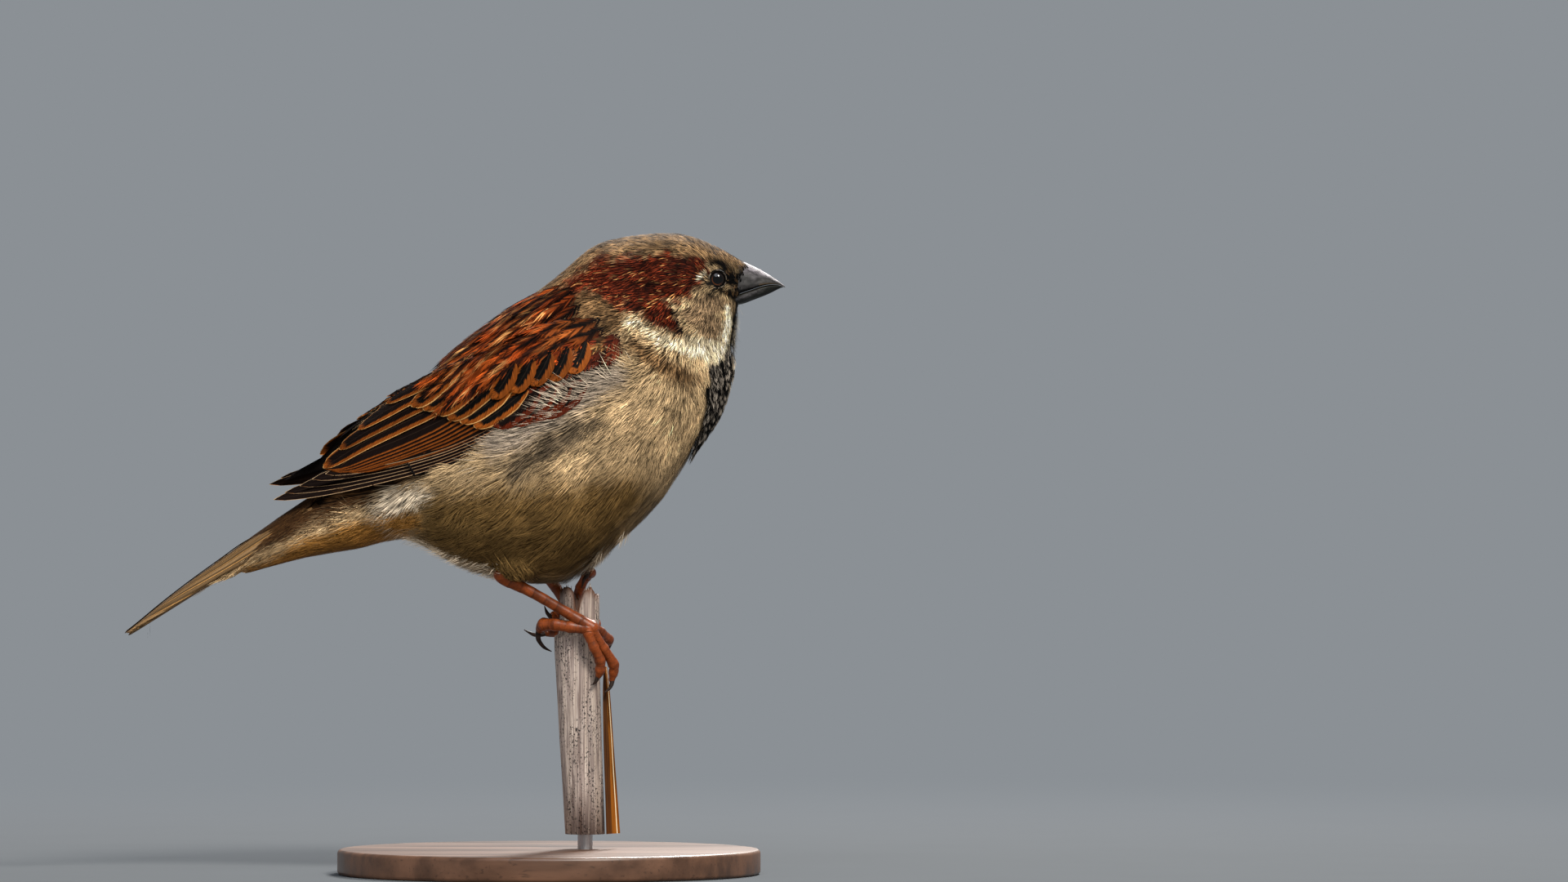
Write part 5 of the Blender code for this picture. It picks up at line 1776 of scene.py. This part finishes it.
# Joints of the legs and feet in the model's frame: x, y, z and radius. First the leg, then each toe.
LEGS = {
    "right": (
        (
            *((-9.6, -9.9, 59.6, 1.3), (-8.2, -9.55, 58.65, 1.3), (-3.5, -8.3, 56.3, 1.08)),
            *((3.2, -6.9, 52.4, 1.05), (6.7, -6.3, 50.2, 1.3), (8.6, -6.0, 49.0, 1.45)),
        ),
        (
            *((8.4, -6.1, 49.0, 1.3), (7.6, -6.4, 48.9, 1.1), (4.4, -6.5, 49.3, 1.1)),
            *((1.4, -6.1, 49.7, 1.15), (-0.9, -4.9, 49.7, 1.2), (-1.7, -3.6, 48.7, 0.9)),
        ),
        (
            *((7.9, -6.2, 49.4, 1.2), (8.6, -5.4, 49.6, 0.95), (10.4, -2.7, 48.1, 0.88)),
            *((11.8, 0.2, 46.6, 0.95), (11.9, 1.8, 45.8, 0.66)),
        ),
        (
            *((8.2, -6.2, 49.0, 1.3), (8.8, -5.9, 48.3, 1.0), (10.9, -4.3, 44.9, 0.96)),
            *((12.8, -2.5, 41.8, 1.0), (12.8, -1.8, 40.0, 0.85), (12.5, -1.4, 38.6, 0.58)),
        ),
        (
            *((8.2, -6.3, 49.0, 1.2), (7.9, -6.6, 48.0, 1.0), (9.0, -6.3, 45.3, 0.92)),
            *((10.2, -5.4, 42.6, 0.95), (10.2, -4.9, 40.6, 0.9), (9.9, -4.7, 39.5, 0.64)),
        ),
    ),
    "left": (
        (
            *((-1.6, 8.8, 60.6, 1.2), (-0.5, 8.35, 59.1, 1.25), (0.9, 7.7, 57.2, 1.08)),
            *((2.4, 6.9, 55.1, 1.08), (3.6, 6.3, 53.6, 1.25), (4.6, 6.1, 52.5, 1.4)),
        ),
        (
            *((4.6, 6.1, 52.5, 1.2), (3.9, 6.1, 52.2, 1.05), (2.4, 5.9, 51.5, 1.05)),
            *((1.0, 4.6, 51.0, 0.95), (0.7, 3.9, 50.9, 0.7)),
        ),
        (
            *((4.6, 6.1, 52.5, 1.2), (5.0, 6.0, 53.6, 0.95), (6.2, 5.4, 56.8, 0.92)),
            *((7.4, 3.9, 59.0, 0.95), (8.3, 1.9, 59.8, 0.95), (8.1, 0.5, 59.5, 0.7)),
        ),
        (
            *((4.6, 6.1, 52.5, 1.2), (5.5, 6.3, 52.2, 0.95), (7.4, 6.1, 51.0, 0.9)),
            *((9.2, 5.2, 49.9, 0.85), (9.7, 4.6, 49.4, 0.6)),
        ),
        (
            *((4.6, 6.1, 52.5, 1.2), (4.3, 6.5, 51.4, 0.95), (2.7, 6.4, 49.4, 0.95)),
            *((0.8, 5.1, 48.0, 0.95), (-0.5, 3.4, 47.8, 0.7)),
        ),
    ),
}
TOE_NAMES = ("hind", "inner", "middle", "outer")
CLAWS = {
    "hind_right": (
        *((-1.9, -3.5, 48.5, 0.62), (-2.1, -3.1, 47.4, 0.55), (-1.9, -2.8, 46.4, 0.45)),
        *((-0.9, -2.3, 45.1, 0.32), (0.5, -1.9, 44.3, 0.1)),
    ),
    "inner_right": (
        *((12.0, 2.1, 45.6, 0.5), (11.8, 2.7, 45.0, 0.42)),
        *((11.3, 3.5, 44.2, 0.3), (10.3, 4.4, 43.6, 0.1)),
    ),
    "middle_right": (
        *((12.6, -1.5, 38.4, 0.46), (12.4, -1.65, 37.6, 0.4)),
        *((12.0, -1.9, 36.9, 0.3), (11.2, -2.3, 36.2, 0.1)),
    ),
    "outer_right": (
        *((9.8, -4.7, 39.4, 0.46), (9.5, -4.77, 38.7, 0.4)),
        *((9.2, -4.8, 38.2, 0.3), (8.7, -4.85, 37.8, 0.1)),
    ),
    "hind_left": ((0.4, 3.7, 50.9, 0.5), (-0.1, 3.45, 51.4, 0.4), (-0.5, 3.3, 52.0, 0.32), (-0.9, 3.1, 53.1, 0.1)),
    "inner_left": ((7.9, 0.2, 59.6, 0.5), (7.4, -0.2, 59.1, 0.4), (6.9, -0.4, 58.3, 0.32), (6.5, -0.5, 56.9, 0.1)),
    "middle_left": ((9.8, 4.5, 49.2, 0.5), (10.0, 4.1, 48.7, 0.4), (10.1, 3.6, 48.1, 0.3), (9.8, 3.7, 47.2, 0.1)),
    "outer_left": (
        *((-0.9, 3.3, 47.7, 0.56), (-1.7, 3.2, 47.5, 0.48)),
        *((-3.1, 3.3, 47.5, 0.38), (-4.9, 3.5, 48.4, 0.1)),
    ),
}

TOE_SCUTE = 1.05  # length of one scute of a toe, and of the leg
LEG_SCUTE = 2.7


def limb_mesh(name, joints, steps, around, swell, reference=(0.0, 0.0, 1.0)):
    """A round limb with rounded ends. swell(reach, joint distance) shapes its skin."""
    rows, reach = through(joints, steps)
    stops = reach[::steps][1:-1]
    count = len(rows)
    made = bmesh.new()
    verts, before = [], None
    for k, row in enumerate(rows):
        ahead = Vector(rows[min(k + 1, count - 1)][:3] - rows[max(k - 1, 0)][:3]).normalized()
        side = ahead.cross(Vector(reference))
        if side.length < 0.05:
            side = ahead.cross(Vector((0.3, 1.0, 0.1)))
        side.normalize()
        if before and side.dot(before) < 0:
            side.negate()
        before = side
        other = ahead.cross(side)
        radius = row[3] * swell(reach[k], np.abs(stops - reach[k]).min())
        for j in range(around):
            angle = TURN * j / around
            spoke = side * math.cos(angle) + other * math.sin(angle)
            verts.append(made.verts.new((Vector(row[:3]) + spoke * radius) * MM))
    for face in tube_faces(around, count):
        made.faces.new([verts[k] for k in face])
    for end, inner in ((0, 1), (count - 1, count - 2)):
        ahead = Vector(rows[end][:3] - rows[inner][:3]).normalized()
        rim = verts[end * around : (end + 1) * around]
        ring = rim
        for share, out in ((0.75, 0.6), (0.4, 0.9)):
            rise = ahead * rows[end][3] * out
            middle = (Vector(rows[end][:3]) + rise) * MM
            new = [made.verts.new(middle.lerp(vert.co + rise * MM, share)) for vert in rim]
            for j in range(around):
                after = (j + 1) % around
                made.faces.new((ring[j], ring[after], new[after], new[j]))
            ring = new
        made.faces.new(ring)
    mesh = from_bmesh(made, bpy.data.meshes.new(name))
    caps = (np.full(2 * around, reach[0]), np.full(2 * around, reach[-1]))
    set_values(mesh, "reach", "FLOAT", np.concatenate((np.repeat(reach, around), *caps)))
    return mesh


def toe_skin(reach, joint):
    """Scutes across the toe, and a pad under each joint."""
    saw = math.modf(reach / TOE_SCUTE)[0]
    pad = math.exp(-((joint / 0.6) ** 2))
    return 1 + 0.07 * (1 - saw) + 0.16 * pad - 0.03


def tarsus_skin(reach, joint):
    """Long overlapping scutes down the leg."""
    saw = math.modf(reach / LEG_SCUTE)[0]
    return 1 + 0.06 * saw - 0.02


@functools.lru_cache
def leg_material(name, period):
    """Scaly skin with a scute every so many millimetres down the limb."""
    radius = (0.6 * MM, 0.25 * MM, 0.15 * MM)
    made = Shader(name, Roughness=0.42, Specular_IOR_Level=0.28, Subsurface_Weight=0.1, Subsurface_Radius=radius)
    colour = tuple(colours().leg)
    wander = made.math("MULTIPLY", made.noise(made.place, 700.0, 2.0), 0.35)
    scute = made.math("FRACT", made.math("ADD", made.math("DIVIDE", made.attribute("reach"), period), wander))
    seam = made.math("MAXIMUM", made.between(scute, 0.0, 0.14, 1.0, 0.0), made.between(scute, 0.93, 1.0))
    cells = made.node("TexVoronoi", {"Vector": made.place, "Scale": 2400.0}, feature="DISTANCE_TO_EDGE")
    patch = made.noise(made.place, 300.0, 3.0)
    made.colour(
        made.over(
            tint(colour, 0.42),
            (made.between(patch, 0.35, 0.68), tint(colour, 1.25)),
            (made.between(scute, 0.2, 0.8, 0.0, 0.2), tint(colour, 1.7)),
            (made.between(cells, 0.0, 0.1, 0.5, 0.0), tint(colour, 0.25)),
            (made.math("MULTIPLY", seam, made.between(patch, 0.4, 0.6, 0.7, 0.2)), tint(colour, 0.2)),
        )
    )
    made.bump(seam, -0.35, 0.1 * MM)
    return made.material


class SPARROW_OT_legs(bpy.types.Operator):
    """Builds the scaled legs and toes round their joints"""

    bl_idname = "sparrow.legs"
    bl_label = "Legs"

    def execute(self, context):
        for name, (tarsus, *toes) in LEGS.items():
            mesh = limb_mesh("tarsus", tarsus, 14, 20, tarsus_skin, (0.0, 1.0, 0.0))
            piece(f"leg_{name}", mesh, leg_material("leg_skin", LEG_SCUTE), (f"tarsus_{name}",))
            for toe, joints in zip(TOE_NAMES, toes):
                mesh = limb_mesh("toe", joints, 12, 18, toe_skin)
                stands_for = (f"foot_{name}",) if toe == "hind" else ()
                piece(f"toe_{toe}_{name}", mesh, leg_material("toe_skin", TOE_SCUTE), stands_for)
        return {"FINISHED"}


class SPARROW_OT_claws(bpy.types.Operator):
    """Curves a smooth claw from the end of each toe"""

    bl_idname = "sparrow.claws"
    bl_label = "Claws"

    def execute(self, context):
        material = horn_material("claw_horn", colours().claw)
        for name, joints in CLAWS.items():
            mesh = limb_mesh("claw", joints, 6, 14, lambda reach, joint: 1.0)
            piece(f"claw_tip_{name}", mesh, material, (f"claw_{name}",))
        return {"FINISHED"}


# ---------------------------------------------------------------- perch and stand

REED_ROUND = 96
REED_X = 6.1  # where the middle of the reed's top is
SPLINTERS = 46
# The reed over its cut end: height, the middle's x, and radius
REED = (
    *((18.0, 6.7, 4.02), (26.0, 6.3, 4.15), (34.0, 6.0, 4.26), (43.9, 5.55, 4.4), (46.9, 5.5, 4.42)),
    *((47.3, 5.55, 4.38), (47.6, 5.85, 3.98), (49.5, 6.0, 3.92), (51.6, REED_X, 3.9)),
)
# The leaf from its tip down: height, then x and y of its inner edge, its fold and its outer edge
LEAF = (
    (41.2, 10.9, 11.15, 11.5, 0.3, 0.8, 1.2),
    (36.0, 10.7, 11.4, 12.1, -0.4, 1.2, 1.9),
    (26.0, 10.85, 11.9, 12.8, -1.0, 1.3, 2.6),
    (15.0, 11.2, 12.3, 13.6, -1.4, 1.2, 3.0),
    (8.0, 11.4, 12.6, 14.1, -1.5, 1.2, 3.2),
)
LEAF_WIDE = 13


def reed_ring(z, x, radius):
    """A ring round the reed. Height and radius may differ from point to point."""
    angles = angles_round(REED_ROUND)
    return np.column_stack((x + radius * np.cos(angles), radius * np.sin(angles), np.broadcast_to(z, REED_ROUND)))


def splinters(top, start):
    """Loose splinters on the broken rim: their points, their faces, and which are brown."""
    random = np.random.default_rng(sizes().seed + 3)
    points, faces, brown = [], [], []
    for _ in range(SPLINTERS):
        k = int(random.uniform(0, REED_ROUND))
        turn, wide, tall = angles_round(REED_ROUND)[k], random.uniform(0.16, 0.34), random.uniform(0.3, 1.0)
        way = np.array((math.cos(turn), math.sin(turn), 0.0))
        aside = np.array((-way[1], way[0], 0.0))
        foot = np.array((REED_X, 0.0, top[k] - 0.7)) + way * random.uniform(3.15, 3.75)
        lean = way * random.uniform(-0.5, 0.25) + aside * random.uniform(-0.5, 0.5)
        first = start + len(points)
        points += [foot + wide * (way * math.cos(a) + aside * math.sin(a)) for a in (0.3, 2.4, 4.5)]
        points.append(foot + (0.0, 0.0, tall + 0.7) + lean * tall)
        faces += [tuple(first + j for j in face) for face in ((0, 1, 3), (1, 2, 3), (2, 0, 3), (0, 2, 1))]
        brown += [random.uniform(0, 1) < 0.45] * 4
    return points, faces, brown


def reed_mesh():
    """The reed: cut below, where the rod goes in, ribbed, and broken and hollow above."""
    angles = angles_round(REED_ROUND)
    rod_low, rod_high = node_box("stand_rod")
    bottom = node_box("perch_reed")[0][2]
    ribs = 0.035 * np.sin(angles * 31) + 0.03 * np.sin(angles * 13 + 1)
    notch = 3.6 * np.exp(-(((angles - math.radians(262)) / 0.2) ** 2))
    dip = 1.6 * np.exp(-(((angles - math.radians(60)) / 0.6) ** 2))
    torn = 0.35 * np.abs(np.sin(angles * 9)) + 0.5 * np.sin(angles * 5)
    steps = np.repeat(np.random.default_rng(sizes().seed).uniform(0, 1, REED_ROUND // 3), 3)
    jag = 0.7 * steps * np.tile((0.6, 1.0, 0.45), REED_ROUND // 3)
    top = 55.2 + 0.9 * np.cos(angles + math.pi / 2) - 0.5 * np.cos(angles) + torn - notch - dip + 1.1 * jag
    sections = [reed_ring(z, x, radius + ribs) for z, x, radius in ((bottom, 7.15, 3.9), *REED)]
    rim = reed_ring(top, REED_X, 3.9 + ribs * 0.6)
    rings = [
        reed_ring(bottom + 0.02, (rod_high[0] + rod_low[0]) / 2, (rod_high[0] - rod_low[0]) / 2 + 0.3),
        *sections,
        sections[-1] * 0.4 + rim * 0.6,
        rim,
        reed_ring(top - 0.15, REED_X, 3.05 + ribs),
        reed_ring(top * 0.5 + 23.5, REED_X, 3.0 + ribs),
        reed_ring(47.2, REED_X, 2.7),
    ]
    centre = len(rings) * REED_ROUND
    spikes, sides, brown = splinters(top, centre + 1)
    points = np.vstack((*rings, [(REED_X, 0, 47.0)], spikes))
    mesh = new_mesh("reed", points * MM, tube_faces(REED_ROUND, len(rings)))
    made = as_bmesh(mesh)
    last = centre - REED_ROUND
    caps = [(last + k, last + (k + 1) % REED_ROUND, centre) for k in range(REED_ROUND)]
    for face in (*caps, *sides):
        made.faces.new([made.verts[k] for k in face])
    from_bmesh(made, mesh)
    ring_of = np.arange(len(mesh.vertices)) // REED_ROUND
    inside = (ring_of > len(sections) + 1).astype(float)
    inside[ring_of == len(sections) + 1] = np.clip(notch / 2.5, 0.1, 1)
    inside[centre + 1 :] = brown
    set_values(mesh, "inside", "FLOAT", inside)
    return mesh


def reed_material():
    """Weathered straw: lines and fibres along it, dark specks, and brown inside."""
    made = Shader("reed", Roughness=0.68)
    lines, stain = made.grain((1400, 1400, 26), 3.0), made.grain((260, 260, 90), 4.0)
    fibres = made.grain((5200, 5200, 70), 3.0)
    specks, where = made.grain((3000, 3000, 2200), 1.0), made.grain((420, 420, 120), 2.0)
    dark = made.math("MULTIPLY", made.between(specks, 0.57, 0.62), made.between(where, 0.40, 0.56))
    colour = tuple(perch().reed)
    outside = made.over(
        tint(colour, 0.72),
        (made.between(stain, 0.3, 0.7), tint(colour, 1.12)),
        (made.between(lines, 0.42, 0.66, 0.0, 0.65), rgb(176, 160, 146)),
        (made.between(lines, 0.28, 0.42, 0.8, 0.0), rgb(88, 68, 58)),
        (made.between(fibres, 0.36, 0.48, 0.45, 0.0), rgb(74, 56, 48)),
        (made.between(fibres, 0.54, 0.64, 0.0, 0.6), rgb(190, 176, 164)),
        (made.math("MULTIPLY", dark, 0.95), rgb(24, 18, 17)),
    )
    inside = made.mix(made.between(stain, 0.35, 0.65), tuple(perch().reed_inside), rgb(52, 28, 14))
    made.colour(made.mix(made.attribute("inside"), outside, inside))
    made.bump(lines, 0.4, 0.2 * MM)
    return made.material


def leaf_mesh():
    """A thin folded strip of leaf, closed all round."""
    u = np.linspace(-1, 1, LEAF_WIDE)
    rings = []
    for z, inner_x, fold_x, outer_x, inner_y, fold_y, outer_y in through(LEAF, 12)[0]:
        x = np.where(u < 0, fold_x + (inner_x - fold_x) * -u, fold_x + (outer_x - fold_x) * u)
        y = np.where(u < 0, fold_y + (inner_y - fold_y) * -u, fold_y + (outer_y - fold_y) * u)
        front = np.column_stack((x, y + 0.05 * np.sin(z * 1.3 + u * 4), np.full(LEAF_WIDE, z)))
        rings.append(np.vstack((front, (front + (0, 0.5, 0))[::-1])))
    around = 2 * LEAF_WIDE
    mesh = new_mesh("leaf", np.vstack(rings) * MM, tube_faces(around, len(rings)))
    made = as_bmesh(mesh)
    for start in (0, (len(rings) - 1) * around):
        for k in range(LEAF_WIDE - 1):
            a, b = start + k, start + around - 1 - k
            made.faces.new([made.verts[corner] for corner in (a, a + 1, b - 1, b)])
    from_bmesh(made, mesh, 50)
    set_values(mesh, "across", "FLOAT", np.tile(np.concatenate((u, u[::-1])), len(rings)))
    return mesh


def leaf_material():
    """Dry leaf: its inner web darkened as painted shade where it turns towards the reed, with a pale line beside the
    fold.
    """
    made = Shader("leaf", Roughness=0.8, Specular_IOR_Level=0.1)
    across = made.attribute("across")
    lines, patch = made.grain((1800, 1800, 20), 3.0), made.grain((200, 200, 60), 3.0)
    fold = made.between(made.math("ABSOLUTE", made.math("SUBTRACT", across, 0.62)), 0.03, 0.09, 1.0, 0.0)
    colour = tuple(perch().leaf)
    made.colour(
        made.over(
            tint(colour, 0.25),
            (made.between(patch, 0.4, 0.6), tint(colour, 1.2)),
            (made.between(lines, 0.4, 0.62, 0.0, 0.6), rgb(150, 92, 28)),
            (made.math("MULTIPLY", fold, 0.9), rgb(232, 214, 178)),
            # Painted shade: the inner web, which faces the reed, is darkened
            (made.between(across, -0.1, 0.05, 0.75, 0.0), rgb(56, 32, 16)),
        )
    )
    made.bump(lines, 0.4, 0.15 * MM)
    return made.material


class SPARROW_OT_perch(bpy.types.Operator):
    """Builds the weathered reed with its splintered top, and the dry leaf"""

    bl_idname = "sparrow.perch"
    bl_label = "Perch"

    def execute(self, context):
        piece("reed", reed_mesh(), reed_material(), ("perch_reed",))
        piece("leaf", leaf_mesh(), leaf_material(), ("perch_leaf",))
        return {"FINISHED"}


def base_mesh():
    """The turned base, its upper and lower edges rounded."""
    high = node_box("stand_base")[1]
    radius, top = high[0], high[2]
    edge = 0.8
    turns = np.linspace(0, math.pi / 2, 6)
    profile = [(radius - edge * (1 - math.sin(a)), edge * (1 - math.cos(a))) for a in turns]
    profile += [(radius - edge * (1 - math.cos(a)), top - edge * (1 - math.sin(a))) for a in turns]
    made = bmesh.new()
    verts = [made.verts.new(Vector((r, 0, z)) * MM) for r, z in ((0.0, 0.0), *profile, (0.0, top))]
    for pair in zip(verts, verts[1:]):
        made.edges.new(pair)
    lathed = dict(cent=(0, 0, 0), axis=(0, 0, 1), angle=TURN, steps=160, use_merge=True)
    bmesh.ops.spin(made, geom=made.verts[:] + made.edges[:], **lathed)
    bmesh.ops.remove_doubles(made, verts=made.verts[:], dist=0.001 * MM)
    return from_bmesh(made, bpy.data.meshes.new("base"), 35)


class SPARROW_OT_stand(bpy.types.Operator):
    """Finishes the plain display stand: a turned wooden base and a steel rod"""

    bl_idname = "sparrow.stand"
    bl_label = "Stand"

    def execute(self, context):
        wood = Shader("base_wood", Roughness=0.42)
        rings, pores = wood.grain((14, 220, 120), 5.0), wood.grain((120, 2600, 1200), 2.0)
        colour = tuple(perch().wood)
        wood.colour(
            wood.over(
                tint(colour, 0.55),
                (wood.between(rings, 0.32, 0.68), tint(colour, 1.4)),
                (wood.between(pores, 0.6, 0.72, 0.0, 0.6), tint(colour, 0.3)),
            )
        )
        wood.set("Roughness", wood.between(rings, 0.3, 0.7, 0.34, 0.5))
        wood.bump(pores, 0.15, 0.1 * MM)
        piece("stand_base_turned", base_mesh(), wood.material, ("stand_base",))
        steel = Shader("rod_steel", Roughness=0.28, Metallic=1.0)
        brush = steel.grain((3000, 3000, 60), 2.0)
        steel.colour(steel.mix(brush, (0.42, 0.42, 0.43), (0.66, 0.66, 0.67)))
        steel.set("Roughness", steel.between(brush, 0.3, 0.7, 0.22, 0.4))
        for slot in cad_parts["stand_rod"].material_slots:
            slot.material = steel.material
        return {"FINISHED"}


# ---------------------------------------------------------------- stage

FLOOR_REACH = 60.0
AIM = (0.0, 0.0, 0.09)
# Each light: its place, aim, size, power and colour, and whether surfaces mirror it
LIGHTS = {
    "key": ((0.45, -0.75, 0.85), AIM, 0.28, 17.5, (1.0, 0.95, 0.87), True),
    "sky": ((-0.05, -0.75, 0.95), AIM, 0.75, 6.0, (0.86, 0.92, 1.0), True),
    "fill": ((-0.9, -0.6, 0.35), AIM, 0.6, 2.4, (0.95, 0.97, 1.0), False),
    "under": ((-0.1, -0.75, 0.02), (-0.01, 0.0, 0.07), 0.3, 3.0, (1.0, 0.98, 0.95), False),
    "rim": ((0.25, 0.75, 0.8), AIM, 0.3, 24.0, (1.0, 0.97, 0.93), True),
}


def link_to_scene(made, place, aim):
    """Puts a light or camera in the scene, pointed at a place."""
    made.location = place
    made.rotation_euler = (Vector(aim) - Vector(place)).to_track_quat("-Z", "Y").to_euler()
    bpy.context.scene.collection.objects.link(made)


class SPARROW_OT_stage(bpy.types.Operator):
    """Sets the floor, the soft lights and the camera"""

    bl_idname = "sparrow.stage"
    bl_label = "Stage"

    def execute(self, context):
        backdrop = tuple(perch().backdrop)
        self.add_floor(backdrop)
        self.add_world(context.scene, backdrop)
        for name, (place, aim, size, power, colour, mirrored) in LIGHTS.items():
            light = bpy.data.lights.new(name, "AREA")
            light.shape = "DISK"
            light.size = size
            light.energy = power
            light.color = colour
            made = bpy.data.objects.new(name, light)
            made.visible_glossy = mirrored
            link_to_scene(made, place, aim)
        context.scene.view_settings.view_transform = "Standard"
        camera = bpy.data.cameras.new("camera")
        camera.sensor_width = 36.0
        camera.lens = 400.0
        camera.clip_start = 0.1
        camera.clip_end = 200.0
        far_off = perch().view_width * camera.lens / camera.sensor_width
        tilt = math.radians(1.0)
        centre = Vector((BILL_TIP - 0.25, 0.0, HEIGHT * 0.675)) * MM
        made = bpy.data.objects.new("camera", camera)
        link_to_scene(made, centre + Vector((0.0, -math.cos(tilt), math.sin(tilt))) * far_off, centre)
        context.scene.camera = made
        return {"FINISHED"}

    def add_floor(self, backdrop):
        """A pale floor that fades into the backdrop."""
        made = Shader("floor", Roughness=0.9, Specular_IOR_Level=0.0)
        away = made.vector("LENGTH", made.place, out=1)
        made.colour(made.mix(made.noise(made.place, 40.0, 4.0), tint(backdrop, 0.36), tint(backdrop, 0.38)))
        far = made.node("Emission", (backdrop, 1.0))
        fading = made.node("MixShader", (made.between(away, 0.09, 0.55), made.surface.outputs[0], far))
        made.tree.links.new(fading, made.tree.nodes["Material Output"].inputs["Surface"])
        corners = [(x * FLOOR_REACH, y * FLOOR_REACH, 0.0) for x, y in ((-1, -1), (1, -1), (1, 1), (-1, 1))]
        add_object("floor", new_mesh("floor", corners, [(0, 1, 2, 3)], False), made.material)

    def add_world(self, scene, backdrop):
        """Soft light all round. The camera sees the backdrop instead."""
        scene.world = bpy.data.worlds.new("studio")
        scene.world.use_nodes = True
        nodes, links = scene.world.node_tree.nodes, scene.world.node_tree.links
        seen, lit = nodes.new("ShaderNodeBackground"), nodes["Background"]
        seen.inputs[0].default_value = (*backdrop, 1.0)
        lit.inputs[0].default_value = (0.68, 0.69, 0.72, 1.0)
        lit.inputs[1].default_value = 0.36
        mixed = nodes.new("ShaderNodeMixShader")
        links.new(nodes.new("ShaderNodeLightPath").outputs["Is Camera Ray"], mixed.inputs[0])
        links.new(lit.outputs[0], mixed.inputs[1])
        links.new(seen.outputs[0], mixed.inputs[2])
        links.new(mixed.outputs[0], nodes["World Output"].inputs["Surface"])


OPERATORS = (
    SPARROW_OT_stage,
    SPARROW_OT_skin,
    SPARROW_OT_coat,
    SPARROW_OT_wings,
    SPARROW_OT_tail,
    SPARROW_OT_bill,
    SPARROW_OT_eyes,
    SPARROW_OT_legs,
    SPARROW_OT_claws,
    SPARROW_OT_perch,
    SPARROW_OT_stand,
)


class SPARROW_PT_panel(bpy.types.Panel):
    """Lists the bird's pieces and settings"""

    bl_idname = "SPARROW_PT_panel"
    bl_label = "House Sparrow"
    bl_space_type = "VIEW_3D"
    bl_region_type = "UI"
    bl_category = "Sparrow"

    def draw(self, context):
        for operator in OPERATORS:
            self.layout.operator(operator.bl_idname)
        for group in (colours(), sizes(), perch()):
            box = self.layout.box()
            for name in group.bl_rna.properties.keys():
                if name not in ("rna_type", "name"):
                    box.prop(group, name)


CLASSES = (PlumageColours, PlumageSizes, PerchSettings, *OPERATORS, SPARROW_PT_panel)


def register():
    for one in CLASSES:
        bpy.utils.register_class(one)
    bpy.types.Scene.sparrow_colours = PointerProperty(type=PlumageColours)
    bpy.types.Scene.sparrow_sizes = PointerProperty(type=PlumageSizes)
    bpy.types.Scene.sparrow_perch = PointerProperty(type=PerchSettings)


def unregister():
    del bpy.types.Scene.sparrow_perch
    del bpy.types.Scene.sparrow_sizes
    del bpy.types.Scene.sparrow_colours
    for one in reversed(CLASSES):
        bpy.utils.unregister_class(one)


def main():
    register()
    for operator in OPERATORS:
        group, name = operator.bl_idname.split(".")
        getattr(getattr(bpy.ops, group), name)()


if __name__ == "__main__":
    main()
